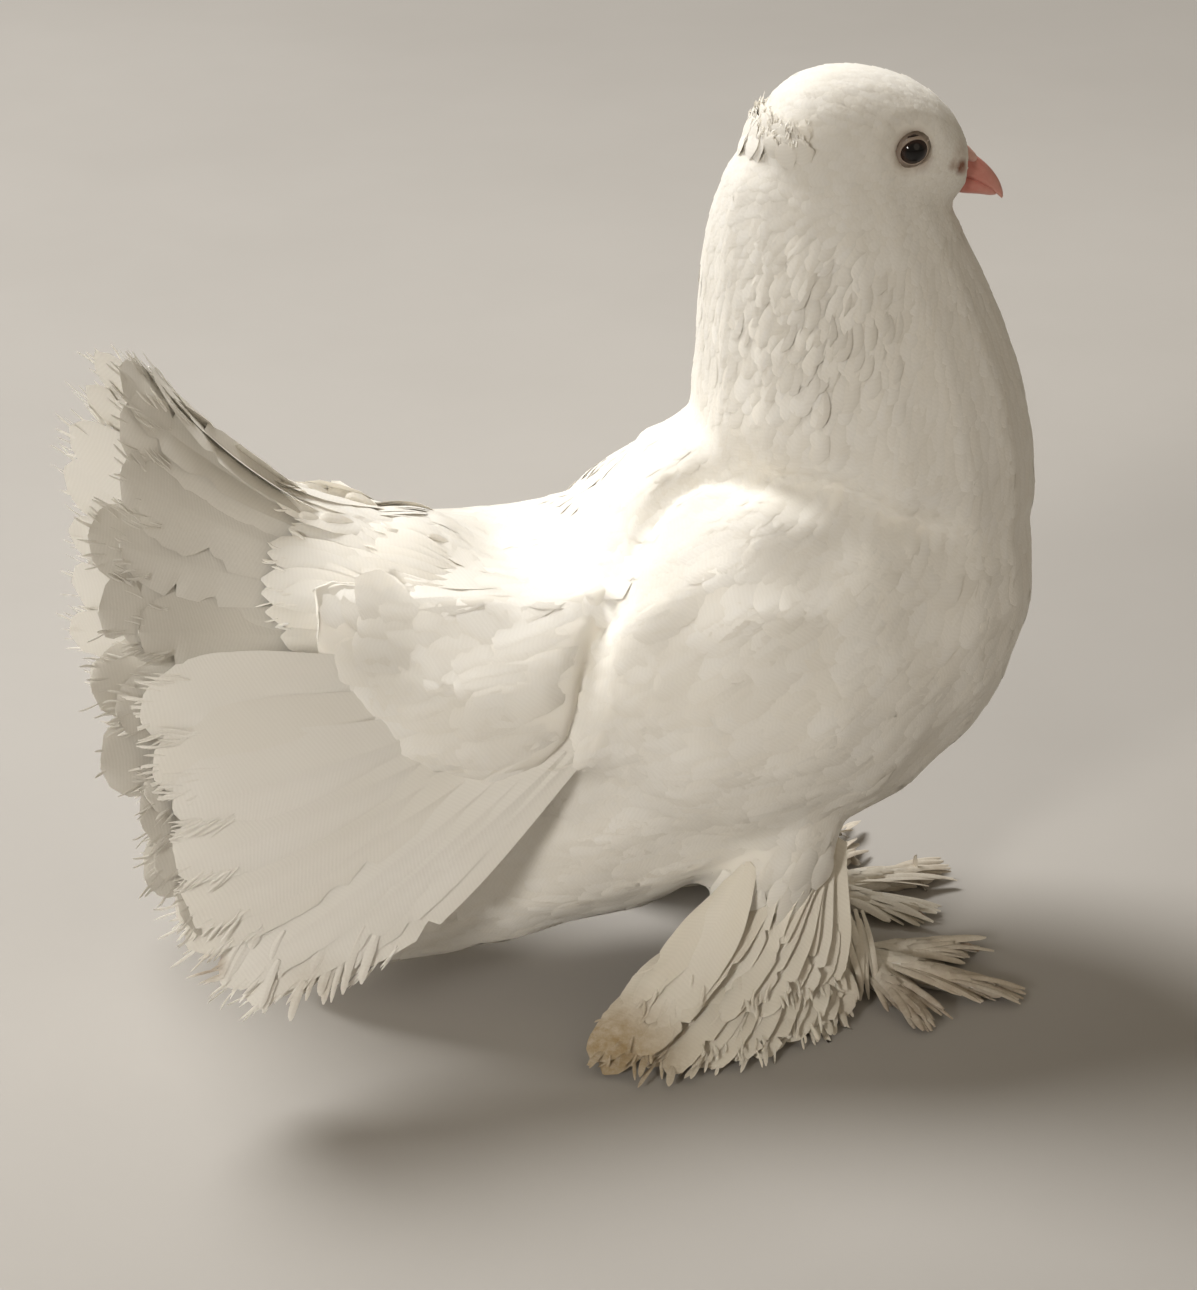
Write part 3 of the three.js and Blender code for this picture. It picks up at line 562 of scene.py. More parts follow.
def lie(P, K):
    w = np.zeros((len(P), len(LIE)))
    for g in (-1, 1):
        w_ = 1 / (np.linalg.norm(P[:, None, :] - (LIE[None, :, :3] * [1, g, 1]), axis=2) ** 3 + 200.)
        w = np.maximum(w, w_)
    d = w @ (LIE_D * [1, 1, 1]) / w.sum(1, keepdims=True)
    d[:, 1] *= np.sign(P[:, 1] + 1e-6)
    h = smooth01((P[:, 2] + 0.28 * P[:, 0] - 226) / 14) * (P[:, 0] > -45)
    rad = P - np.array([33, 0, 239.])
    rad[:, 2] += 3
    d = unit(d) * (1 - h[:, None]) + unit(rad) * h[:, None]
    for g in (-1, 1):
        q = P - EYE * [1, g, 1]
        r = np.linalg.norm(q, axis=1)
        d += unit(q) * (1.6 * np.exp(-((r - 5) / 3.2) ** 2) * (r < 14))[:, None]
        fx, fy = (0, 22) if g < 0 else (-4, 21)
        foot = np.array([fx - 6, g * fy, 14])
        side = (P[:, 1] * g > 0)
        k = (K == "foot") & side
        d[k] = unit((P[k] - foot) * [1, 1, .2] + [0, 0, -1])
        k = (K == "shank") & side
        d[k] = unit(unit((P[k] - foot) * [.3, 1, 0]) * .9 + [0.1, g * .35, -1.0])
        k = (K == "thigh") & side
        d[k] = unit(np.stack([np.full(k.sum(), -.28), np.full(k.sum(), g * .08), np.full(k.sum(), -1.)], 1))
    return d


def lengths(P, K):
    bill = np.linalg.norm(P - np.array([30, 0, 241.]), axis=1)
    L = np.full(len(P), 19.)
    L[K == "rump"] = 23
    L[K == "wing"] = 25
    k = K == "trunk"
    L[k] = np.interp(P[k, 0], [-100, -40, 20, 60], [23, 20, 16, 14])
    k = (K == "neck") | ((K == "trunk") & (P[:, 2] > 150))
    L[k] = np.interp(P[k, 2], [150, 175, 200, 235], [14, 12, 9.5, 8])
    k = K == "head"
    L[k] = np.interp(bill[k], [7, 14, 26, 45], [2.6, 3.8, 5.6, 8.0])
    L[K == "thigh"] = 15
    L[K == "shank"] = 11
    L[K == "foot"] = 8
    return L


# ---------------------------------------------------------------- small feathers over the skin
def poisson(spacing, count, extra=None):
    """Feather roots: random places on the skin, none closer than the spacing asked for there."""
    r = spacing(FC, FK)
    w = FAREA / r ** 2
    if extra is not None:
        w = w * extra
    pick = rng.choice(len(SF), size=count, p=w / w.sum())
    a, b = rng.random(count), rng.random(count)
    q = SV[SF[pick]]
    P = (q[:, 0] * ((1 - a) * (1 - b))[:, None] + q[:, 1] * (a * (1 - b))[:, None] + q[:, 2] * (a * b)[:, None] + q[:, 3] * ((1 - a) * b)[:, None])
    kd = KDTree(count)
    for i, p in enumerate(P.tolist()):
        kd.insert(p, i)
    kd.balance()
    rr = r[pick]
    free = np.ones(count, bool)
    out = []
    for i in range(count):
        if not free[i]:
            continue
        out.append(i)
        for _, j, _ in kd.find_range(P[i].tolist(), float(rr[i])):
            free[j] = False
    out = np.array(out)
    return P[out], pick[out]


PACK = 1.0


def spacing(P, K):
    s = lengths(P, K) * 0.235
    s[K == "head"] *= 1.12
    return s * PACK


P0, F0 = poisson(spacing, 80000)
K0 = FK[F0]
ok = np.ones(len(P0), bool)
for g in (-1, 1):
    q = P0 - EYE * [1, g, 1]
    ok &= ~((np.hypot(q[:, 0], q[:, 2]) < 6.6) & (P0[:, 1] * g > 6))
bx = P0 - np.array([31, 0, 239.])
ok &= ~((np.abs(bx[:, 0]) < 12) & (np.hypot(bx[:, 1], bx[:, 2]) < 5.0) & (P0[:, 0] > 25.5))
ok &= P0[:, 2] > SOLE + 1.2
ok &= ~((K0 == "foot") & (FN[F0][:, 2] < -.2))
P0, F0, K0 = P0[ok], F0[ok], K0[ok]
L0 = lengths(P0, K0) * rng.uniform(.86, 1.14, len(P0))
says("roots", len(P0))

ST = np.array([0, .18, .38, .58, .76, .90, 1.0])
WP = np.array([.34, .72, .95, 1.0, .88, .60, .20])
crinkle = np.exp(-((P0[:, 0] + 16) / 20) ** 2) * np.exp(-((P0[:, 2] - 211) / 22) ** 2) * (K0 == "neck")
ratio = np.full(len(P0), .60)
ratio[K0 == "neck"] = .56
ratio[K0 == "shank"] = .34
ratio[K0 == "foot"] = .38
ratio[K0 == "thigh"] = .45
Wd = L0 * ratio * rng.uniform(.88, 1.12, len(P0))
LIFT = {"head": .34, "neck": .27, "trunk": .30, "rump": .42, "wing": .38, "thigh": .7, "shank": 1.1, "foot": 1.2}
lift = np.array([LIFT[k] for k in K0]) * rng.uniform(.8, 1.25, len(P0)) * (1 + 1.6 * crinkle * rng.random(len(P0)))
lift *= np.interp(L0, [2.5, 6], [.6, 1])
roll = rng.normal(0, 1, len(P0)) * (.012 + .17 * crinkle)
yaw = rng.normal(0, 1, len(P0)) * (.07 + .16 * crinkle + .10 * np.isin(K0, ["shank", "foot"]))
n0 = FN[F0]
d0 = lie(P0, K0)
d0 = unit(d0 - (d0 * n0).sum(1, keepdims=True) * n0)
s0 = np.cross(n0, d0)
d0 = unit(d0 * np.cos(yaw)[:, None] + s0 * np.sin(yaw)[:, None])
p, n, d = P0.copy(), n0.copy(), d0.copy()
free = np.zeros(len(P0), bool)
loose = np.zeros(len(P0), int)
rings, norms = [], []
for k in range(len(ST)):
    if k:
        q = p + d * (L0 * (ST[k] - ST[k - 1]))[:, None]
        s, m_, idx = snap(q)
        free |= ((m_ * n).sum(1) < .72) | (np.linalg.norm(q - s, axis=1) > .5 * L0 * (ST[k] - ST[k - 1]) + .3)
        s[free] = q[free]; m_[free] = n[free]
        loose += free
        m_ = unit(m_ + n * .6)
        dd = unit(d * .8 + .2 * unit(lie(s, K0)))
        dd[free] = d[free]
        p, n = s, m_
        d = unit(dd - (dd * n).sum(1, keepdims=True) * n)
    t = ST[k]
    side = np.cross(n, d)
    h = lift * (.10 + .90 * t ** .8)
    w = (Wd * WP[k] / 2) * (1 + rng.normal(0, .06, len(p)) * (k > 2))
    ring, nring = [], []
    for sgn in (1, 0, -1):
        base = p + side * (sgn * w)[:, None]
        if sgn:
            s, m_, _ = snap(base)
            bad = free | (np.linalg.norm(s - base, axis=1) > .55 * w + .25) | ((m_ * n).sum(1) < .6)
            s[bad] = base[bad] - (n * (.05 * w)[:, None])[bad]
            base = s + n * (h * (.62 + .25 * crinkle) - .05 + sgn * roll * w)[:, None] + d * (w * .32 * (1 if t < .95 else 0))[:, None]
            m_[bad] = n[bad]
            nring.append(unit(m_ + side * sgn * (.11 + .3 * crinkle)[:, None] + d * (.22 * max(0, t - .5))))
        else:
            base = base + n * (h + .04)[:, None]
            nring.append(unit(n + d * (.22 * max(0, t - .5))))
        ring.append(base)
    ring.append(p + n * (h - .14)[:, None])
    nring.append(n.copy())
    rings.append(ring); norms.append(nring)
says("walked")
R = np.array(rings)  # station, corner, feather, xyz
R = R.transpose(2, 0, 1, 3)  # feather, station, corner, xyz
RN = np.array(norms).transpose(2, 0, 1, 3)
# keep clear of the floor and of the eyes; a feather that would stand out in the air for most of its length is left out
R[..., 2] = np.maximum(R[..., 2], SOLE + .05)
good = loose <= np.where(np.isin(K0, ["shank", "foot", "head"]), 5, 1)
for g in (-1, 1):
    q = R - EYE * [1, g, 1]
    inside = (np.hypot(q[..., 0], q[..., 2]) < 4.9) & (R[..., 1] * g > 8)
    good &= ~inside.any((1, 2))
bq = R - np.array([0, 0, 0.])
inb = (R[..., 0] > 30.5) & (np.abs(R[..., 1]) < 4.2) & (R[..., 2] > 229) & (R[..., 2] < 247)
good &= ~inb.any((1, 2))
R, RN, K0, F0, L0, P0, Wd = R[good], RN[good], K0[good], F0[good], L0[good], P0[good], Wd[good]
NS = len(ST)
phase = rng.random(len(R))
ft = np.zeros(R.shape[:3] + (3,))
barb = ST[None, :] * L0[:, None] / 1.3
for c, extra in ((0, .4), (1, 0), (2, .4), (3, 0)):
    ft[:, :, c, 0] = barb + extra * Wd[:, None] / 1.3
ft[..., 1] = phase[:, None, None]
# the third value runs from root to tip; the material paints shade near each feather's root from it
ft[..., 2] = ST[None, :, None]
quads = []
for k in range(NS - 1):
    for c in range(4):
        a, b = 4 * k + c, 4 * k + (c + 1) % 4
        quads.append((a, b, b + 4, a + 4))
quads.append((3, 2, 1, 0))
e = 4 * (NS - 1)
quads.append((e, e + 1, e + 2, e + 3))
quads = np.array(quads)


def patch_uv(root_face, local):
    """Each tuft is a small patch at its root's place on the skin's unwrap."""
    return FUV[root_face] + (local - .5) * .003


def coat_piece(name, sel, mat, nodes=()):
    r = R[sel]
    v = r.reshape(-1, 3)
    f = (quads[None] + (np.arange(len(r)) * 4 * NS)[:, None, None]).reshape(-1, 4)
    loc = np.zeros(r.shape[:3] + (2,))
    loc[..., 0] = ST[None, :, None]
    loc[:, :, 0, 1] = 0; loc[:, :, 1, 1] = .4; loc[:, :, 2, 1] = .8; loc[:, :, 3, 1] = 1
    uv = (FUV[F0[sel]][:, None, None, :] + (loc - .5) * .003).reshape(-1, 2)
    o = piece(name, v, f.tolist(), mat, fe=ft[sel].reshape(-1, 3), uv=uv)
    # the light sees the soft whole: upper faces carry the body's own roundness
    nv = RN[sel].reshape(-1, 3)
    sign = np.ones(len(quads))
    sign[:-2][np.arange(len(quads) - 2) % 4 >= 2] = -1
    sign[-2] = -1
    ln = nv[f] * np.tile(sign, len(r))[:, None, None]
    o.data.normals_split_custom_set(ln.reshape(-1, 3).tolist())
    return o


NORM_CHECK = None
head_sel = np.where(K0 == "head")[0]
foot_sel = np.where(np.isin(K0, ["shank", "foot"]))[0]
rest = np.where(~np.isin(K0, ["head", "shank", "foot"]))[0]
rest = rest[np.argsort(P0[rest, 0], kind="stable")]
coat_piece("coat_head", head_sel, M_FACE)
coat_piece("coat_feet", foot_sel, M_MUFF)
chunk = 3300
for i in range(0, len(rest), chunk):
    coat_piece("coat_body_%d" % (i // chunk), rest[i:i + chunk], M_BODY)
says("small feathers", len(R), "tris", len(R) * len(quads) * 2)

# ---------------------------------------------------------------- long feathers
CS = np.array([-1, -.74, -.46, -.2, -.045, .045, .2, .46, .74, 1.0])
STRIP = np.array([-1, -.35, .35, 1.0])


def bezier(a, b, c, n):
    t = np.linspace(0, 1, n)[:, None]
    return (1 - t) ** 2 * a + 2 * t * (1 - t) * b + t * t * c


class Quills:
    """Collects long feathers, each a closed thin vane with its shaft, into joined pieces."""

    def __init__(self):
        self.v, self.q, self.t, self.fe, self.uv, self.n = [], [], [], [], [], 0

    def vane(self, axis, up, wl, wr, th=.34, slant=.5, camber=.05, roll=0.0, shaft=.5, rnd=None, wave=0.0, barb=1.15, floor=True, CS=CS, overlap_shade_side=0, root_shade_ease=.25):
        S, C = len(axis), len(CS)
        tan = unit(np.gradient(axis, axis=0))
        nrm = up - (up * tan).sum(1, keepdims=True) * tan
        nrm = unit(nrm)
        side = np.cross(nrm, tan)
        ro = np.asarray(roll) * np.ones(S)
        side, nrm = side * np.cos(ro)[:, None] + nrm * np.sin(ro)[:, None], nrm * np.cos(ro)[:, None] - side * np.sin(ro)[:, None]
        w = np.where(CS[None, :] < 0, wl[:, None], wr[:, None]) * np.abs(CS)[None, :]
        L = np.linalg.norm(np.diff(axis, axis=0), axis=1).sum()
        ts = np.linspace(0, 1, S)
        ph = rng.random() * 6
        ripple = wave * np.sin(ts[:, None] * 9 + ph + 2 * CS[None, :]) * (np.abs(CS)[None, :] ** 1.5)
        lean = slant * (1 - .85 * smooth01((ts - .55) / .4))
        pos = axis[:, None, :] + side[:, None, :] * (w * np.sign(CS)[None, :])[..., None] + tan[:, None, :] * (w * lean[:, None])[..., None]
        pos = pos + nrm[:, None, :] * (ripple - camber * w * np.abs(CS)[None, :])[..., None]
        thick = th * (1 - .72 * np.abs(CS) ** 1.2)[None, :] * (1 - .45 * ts)[:, None] / 2
        sh = np.where(np.abs(CS) < .1, shaft, 0)[None, :] * (1 - .85 * ts)[:, None] * .5
        top = pos + nrm[:, None, :] * (thick + sh)[..., None]
        bot = pos - nrm[:, None, :] * (thick + sh * .6)[..., None]
        top[:, [0, -1]] = (top[:, [0, -1]] + bot[:, [0, -1]]) / 2
        ring = np.concatenate([top, bot[:, -2:0:-1]], 1)  # 2C-2 points
        N = 2 * C - 2
        if floor:
            ring[..., 2] = np.maximum(ring[..., 2], SOLE + .05)
        v = ring.reshape(-1, 3)
        q = []
        j = np.arange(N)
        for i in range(S - 1):
            a, b = i * N + j, i * N + (j + 1) % N
            q.append(np.stack([a, b, b + N, a + N], 1))
        q = np.concatenate(q)
        caps, tris = [], []
        for base, flip in ((0, False), ((S - 1) * N, True)):
            for c in range(C - 1):
                a, b = base + c, base + c + 1
                bb, ab = base + (N - c - 1) % N, base + (N - c) % N
                poly = [a, b, bb, ab]
                poly = [x for i_, x in enumerate(poly) if x not in poly[:i_]]
                poly = poly if flip else poly[::-1]
                (caps if len(poly) == 4 else tris).append(poly)
        self.q += (q + self.n).tolist()
        self.q += [[x + self.n for x in p_] for p_ in caps + tris]
        rnd = rng.random() if rnd is None else rnd
        fe = np.zeros((S, N, 3))
        cc = np.concatenate([CS, CS[-2:0:-1]])
        ww = np.concatenate([w, w[:, -2:0:-1]], 1)
        fe[..., 0] = (ts[:, None] * L - ww * 0.0) / barb
        fe[..., 1] = rnd
        # the third value drives painted shade in the material: darkest at the root, none at the tip
        fe[..., 2] = root_shade_ease + (1 - root_shade_ease) * ts[:, None]
        if overlap_shade_side:    # painted shade: the web that lies under the next feather is painted darker, as if shaded by it
            fe[..., 2] *= 1 - .8 * smooth01((.50 + overlap_shade_side * cc) / .5)[None, :] * smooth01((1.04 - ts) / .3)[:, None]
        self.last = (axis, tan, side, nrm, wl, wr, lean)
        self.fe.append(fe.reshape(-1, 3))
        _, _, face = BVH.find_nearest(axis[0].tolist())[:3]
        loc = np.stack(np.broadcast_arrays(ts[:, None], (cc[None, :] + 1) / 2), -1)
        self.uv.append((FUV[face] + (loc - .5) * .003).reshape(-1, 2))
        self.v.append(v)
        self.n += len(v)

    def strip(self, a, m_, b, up, w, S=7, th=.22, roll=0.0, camber=.1):
        ax = bezier(a, m_, b, S)
        ww = outline(S, w, "round", .6, .4, .25)
        self.vane(ax, np.repeat(np.asarray(up, float)[None], S, 0), ww, ww, th=th, slant=.3, camber=camber, roll=roll, shaft=0, CS=STRIP, root_shade_ease=.6)

    def fray(self, count, lo=.7, reach=(5, 11), wid=(.5, 1.0), lift_=.1, spread=.75):
        """Loose barbs round the tip of the vane laid last."""
        axis, tan, side, nrm, wl, wr, lean = self.last
        S = len(axis)
        for _ in range(count):
            i = int(rng.integers(int(lo * S), S - 1))
            a = rng.uniform(-1, 1) if i > .9 * S else math.copysign(rng.uniform(.7, 1), rng.uniform(-1, 1))
            w = (wl if a < 0 else wr)[i]
            base = axis[i] + side[i] * (w * a * .85) + tan[i] * (abs(a) * w * lean[i] * .8) + nrm[i] * rng.uniform(-.1, .12)
            ang = math.copysign(rng.uniform(.12, spread) * abs(a) ** .6, a)
            d = tan[i] * math.cos(ang) + side[i] * math.sin(ang) + nrm[i] * rng.normal(0, lift_ * .6)
            end = base + d * rng.uniform(*reach)
            bend = (base + end) / 2 + side[i] * rng.normal(0, .5) + nrm[i] * rng.normal(0, .3)
            self.strip(base, bend, end, nrm[i], rng.uniform(*wid), roll=rng.normal(0, .2))

    def build(self, name, mat, slot, *nodes):
        v = np.concatenate(self.v)
        o = piece(name, v, self.q, mat, fe=np.concatenate(self.fe), uv=np.concatenate(self.uv), sharp=60)
        if nodes:
            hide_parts(*nodes)
        says(name, "tris", sum(len(f) - 2 for f in self.q))
        return o


def outline(S, w, shape="round", narrow=.35, widest=.7, tip=.12, rag=0.0, splits=0, seed=None):
    """Half widths from root to tip."""
    t = np.linspace(0, 1, S)
    if shape == "round":
        base = narrow + (1 - narrow) * smooth01(t / widest)
        end = np.sqrt(np.clip(1 - np.clip((t - widest) / (1 - widest), 0, 1) ** 2.4, 0, 1))
    else:
        base = narrow + (1 - narrow) * smooth01(t / widest)
        end = 1 - .9 * np.clip((t - widest) / (1 - widest), 0, 1) ** 1.5
    o = w * base * (tip + (1 - tip) * end)
    if rag:
        o = o * (1 - rag * rng.random(S) * smooth01((t - .35) / .5))
    for _ in range(splits):
        i = int(rng.integers(int(S * .35), S - 3))
        o[i] *= rng.uniform(.55, .82)
        if rng.random() < .4 and i + 1 < S - 2:
            o[i + 1] *= rng.uniform(.7, .9)
    return o


# --- the tail: an arch of rectrices; the middle pair lies over the rest
FAN = np.array([
    [40, 0, 0.93, -112, 0, 135], [37, 7, 0.98, -112, 5, 133.5], [28, 13.5, 0.96, -112, 10, 129], [16.5, 18.5, 0.935, -112, 14, 122],
    [4, 22, 0.955, -111, 17, 114], [-7, 24, 0.93, -110, 19, 105], [-16, 25, 0.86, -109, 20, 97]])
TAIL_L = 118.


def fan_at(s):
    row = np.array([np.interp(abs(s) * 6, range(7), FAN[:, k]) for k in range(6)])
    g = 1.0 if s >= 0 else -1.0
    el, az, k, x, y, z = row
    el, az = math.radians(el), math.radians(az)
    r = np.array([x, g * y, z])
    L = TAIL_L * k
    return r, r + L * np.array([-math.cos(el) * math.cos(az), g * math.cos(el) * math.sin(az), math.sin(el)])


def fan_normal(s):
    r0, t0 = fan_at(max(-1, s - .03)); r1, t1 = fan_at(min(1, s + .03)); r, t = fan_at(s)
    across = (r1 - r0) * .3 + (t1 - t0) * .7
    n = np.cross(across, t - r)
    n = n / np.linalg.norm(n)
    ref = np.array([0, 1.0 if s > 0 else -1.0, 0]) * min(1, abs(s) * 3) + np.array([0, 0, 1.0]) * max(0, 1 - abs(s))
    return n if n @ ref > 0 else -n


LS = 32
tail = Quills()
per = 10
ss = [0.0] + [g * (i - .15) / (per - .15) for i in range(1, per + 1) for g in (-1, 1)]
for s in sorted(ss, key=lambda x: -abs(x)):
    r, t = fan_at(s)
    n = fan_normal(s)
    level = (1 - abs(s)) * 1.1 - .4
    g = 0 if s == 0 else math.copysign(1, s)
    k = 1 + rng.uniform(-.065, .015) - (.02 if abs(s) < .05 else 0)
    root = r + (t - r) * .12
    tip = r + (t - r) * k
    bow = -15.0
    mid = (root + tip) / 2 + n * bow
    L = np.linalg.norm(tip - root)
    axis = bezier(root + n * level * .4, mid + n * level, tip + n * (level + rng.uniform(-1.0, 1.6)), LS)
    # a light sideways curve, away from the middle
    sd = unit(np.cross(n, tip - root))
    tt = np.linspace(0, 1, LS)[:, None]
    axis = axis + sd * (rng.uniform(-1.5, 1.5) * np.sin(tt * 3.1))
    up = np.repeat(n[None], LS, 0)
    W = 14.0 * rng.uniform(.92, 1.06)
    wl = outline(LS, W, widest=rng.uniform(.60, .72), narrow=.36, tip=.06, rag=.07, splits=int(rng.integers(1, 4)))
    wr = outline(LS, W, widest=rng.uniform(.60, .72), narrow=.36, tip=.06, rag=.07, splits=int(rng.integers(1, 4)))
    tail.vane(axis, up, wl, wr, th=.42, slant=.42, camber=.07, roll=-.075 * g * min(1, abs(s) * 2.5), shaft=.6, wave=.3, overlap_shade_side=g)
    tail.fray(20, .80, (4, 9), (.22, .45), spread=.45)
# a few broad feathers lie loose over the others, curling clear of them
for g in (-1, 1):
    for s, k0, k1, W, up_, tw in ((.40, .30, .93, 11, 2.6, .10), (.52, .26, .88, 12, 3.2, .16), (.63, .24, .94, 12.5, 2.6, .10), (.76, .24, .90, 12, 2.8, .14), (.88, .24, .95, 11.5, 2.4, .08)):
        s, k1 = s + (.03 if g > 0 else 0), k1 - (.04 if g > 0 else 0)
        r, t = fan_at(g * s)
        n = fan_normal(g * s)
        root, tip = r + (t - r) * k0, r + (t - r) * k1
        root = root - n * (30 * k0 * (1 - k0)) + n * .8
        tip = tip - n * (30 * k1 * (1 - k1)) + n * up_
        axis = bezier(root, (root + tip) / 2 - n * (15 * (k1 - k0)) + n * 1.6, tip, LS)
        wl = outline(LS, W, widest=.58, narrow=.40, tip=.06, rag=.06, splits=2)
        wr = outline(LS, W * .9, widest=.58, narrow=.40, tip=.06, rag=.06, splits=2)
        tail.vane(axis, np.repeat(n[None], LS, 0), wl, wr, th=.40, slant=.42, camber=.10, roll=-g * tw * np.linspace(.4, 1, LS), shaft=.55, wave=.35, overlap_shade_side=g)
        tail.fray(14, .82, (4, 8), (.22, .45), spread=.45)
tail.build("tail_feathers", M_TAIL, "flight_feathers", "tail_left_lower", "tail_left_upper", "tail_centre", "tail_right_upper", "tail_right_lower")

# --- flights and the long inner wing feathers over the fan's lower half
FLIGHT = np.array([
    [-84, 48.5, 104, -160, 54, 40], [-90, 48.8, 102, -171, 55, 38], [-97, 48.6, 101, -181, 55.5, 42],
    [-105, 48.0, 100, -188, 56, 51], [-113, 47.4, 101, -192, 56.5, 63], [-121, 46.6, 103, -195, 57, 78],
    [-124, 46.5, 110, -199, 56, 93], [-128, 45, 118, -203, 54, 108], [-132, 43, 127, -205, 50, 124]])
for g, side_name in ((1, "left"), (-1, "right")):
    q = Quills()
    nf = 10
    for i in range(nf):
        u = i / (nf - 1) * (len(FLIGHT) - 1)
        row = np.array([np.interp(u, range(len(FLIGHT)), FLIGHT[:, k]) for k in range(6)])
        r, t = row[:3] * [1, g, 1], row[3:] * [1, g, 1]
        t = t + np.array([rng.uniform(-4, 3), 0, rng.uniform(-2.2, 2.2)])
        if i > 6:
            t = r + (t - r) * rng.uniform(.88, .98)
        elif i < 2:
            t = r + (t - r) * (.93 + .03 * i)
        n = unit(np.cross(t - r, np.array([0., 0, 1.])))
        n = n if n[1] * g > 0 else -n
        level = .42 * i - 1.6 + rng.uniform(-.15, .15)
        bowz = np.array([0, 0, -3.0 + .65 * i + rng.uniform(-1, 1)])
        mid = (r + t) / 2 + n * 5.0 + bowz
        axis = bezier(r + n * (level * .5), mid + n * level, t + n * (level + rng.uniform(-.4, .8)), LS)
        W = 11.0 if i < 5 else 13.0
        ends = "point" if i < 3 else "round"
        wl = outline(LS, W * (.75 if g > 0 else 1.1), ends, .45, .62, .08, .07, 2 if i < 5 else 0)
        wr = outline(LS, W * (1.1 if g > 0 else .75), ends, .45, .62, .08, .07, 2 if i < 5 else 0)
        q.vane(axis, np.repeat(n[None], LS, 0), wl, wr, th=.36, slant=.5, camber=.05, roll=g * -.12, shaft=.5, wave=.3, overlap_shade_side=g)
        q.fray(28, .78, (5, 10), (.25, .5), spread=.45)
    # parted barbs hanging at the tips of the lowest flights
    for i in range(34):
        u = rng.uniform(.2, 3.9)
        row = np.array([np.interp(u, range(len(FLIGHT)), FLIGHT[:, k]) for k in range(6)])
        r, t = row[:3] * [1, g, 1], row[3:] * [1, g, 1]
        a = r + (t - r) * rng.uniform(.66, .93) + np.array([0, g * rng.uniform(.2, 1.6), rng.uniform(-2, 2)])
        dirn = unit(unit(t - r) + np.array([.25, 0, -1.15]) * rng.uniform(.5, .95))
        Lb = rng.uniform(9, 19)
        b_ = a + dirn * Lb
        m_ = (a + b_) / 2 + np.array([-1.4, 0, -.3])
        S = 10
        ax = bezier(a, m_, b_, S)
        w = outline(S, rng.uniform(.8, 1.5), "round", .55, .4, .25)
        q.vane(ax, np.repeat([[0, g, .1]], S, 0), w, w, th=.25, slant=.2, camber=.05, shaft=.1)
    q.build("flight_feathers_" + side_name, M_TAIL, "flight_feathers", "flights_" + side_name)

# --- coverts: rows that lie along the fan from the rump's skin, the foremost row on top
cov = {-1: Quills(), 1: Quills()}
S = 12
for g in (-1, 1):
    for rowi, (f1, n_, f0) in enumerate(((.47, 24, .24), (.42, 24, .18), (.36, 24, .12), (.30, 22, .06))):
        for i in range(n_):
            s = (i + .5 + rng.uniform(-.2, .2)) / n_ * .76
            rr, tt_ = fan_at(g * s)
            n = fan_normal(g * s)
            e_ = unit(tt_ - rr)
            Lf = np.linalg.norm(tt_ - rr)
            fe_ = f1 * rng.uniform(.92, 1.06) * (1 + .07 * math.sin(s * 17 + 1.2))
            end = rr + e_ * Lf * fe_ + n * (-30 * fe_ * (1 - fe_) + (1 - s) * 1.1 + .8 + .3 * rowi)
            a = np.array(BVH.find_nearest((rr + e_ * Lf * f0 + n * 14).tolist())[0])
            loc, nr, idx = BVH.find_nearest(end.tolist())[:3]
            out = (end - np.array(loc)) @ FN[idx]
            if out < .8:
                end = np.array(loc) + FN[idx] * .9
            if np.linalg.norm(end - a) < 12:
                continue
            a = a - n * .7
            m_ = (a + end) / 2
            loc, nr, idx = BVH.find_nearest(m_.tolist())[:3]
            lift_ = max(0, 1.2 - (m_ - np.array(loc)) @ FN[idx])
            ax = bezier(a, m_ + n * 2 * min(lift_, 4), end, S)
            w = outline(S, rng.uniform(3.8, 5.0), "round", .15, .55, .08, .10)
            w2 = outline(S, rng.uniform(3.8, 5.0), "round", .15, .55, .08, .10)
            cov[g].vane(ax, np.repeat(n[None], S, 0), w, w2, th=.24, slant=.4, camber=.10, roll=-g * .04, shaft=.1, wave=.15)
            cov[g].fray(4, .70, (2, 5), (.25, .5), .05, .4)
# loose curled feathers on the ridge of the back, where it turns up into the tail
for x, y, z, L, curl, wid in ((-134, -8, 151, 19, 6.5, 1.5), (-130, -5, 150.5, 13, 4.5, 1.2), (-122, -9, 148.5, 11, 3.6, 1.1), (-112, -10, 147, 10, 3.2, 1.0), (-146, -9, 156, 10, 3, 1.2), (-128, 8, 151, 14, 5, 1.3), (-140, 10, 154, 13, 5, 1.3)):
    S2 = 16
    a = np.array([x, y, z], float)
    t = np.linspace(0, 1, S2)[:, None]
    ax = a + np.array([-L, -1.5, 1.5]) * t + np.array([0, 0, 1.0]) * curl * np.sin(t * 2.4) + np.array([.75 * L, 0, 0]) * np.clip(t - .55, 0, 1) ** 1.3
    w = outline(S2, wid, "round", .5, .5, .2, .2)
    cov[-1].vane(ax, np.repeat([[0.1, -.8, .6]], S2, 0), w, w, th=.22, slant=.3, camber=.1, shaft=.1)
cov[-1].build("coverts_right", M_BODY, "white_plumage")
cov[1].build("coverts_left", M_BODY, "white_plumage")

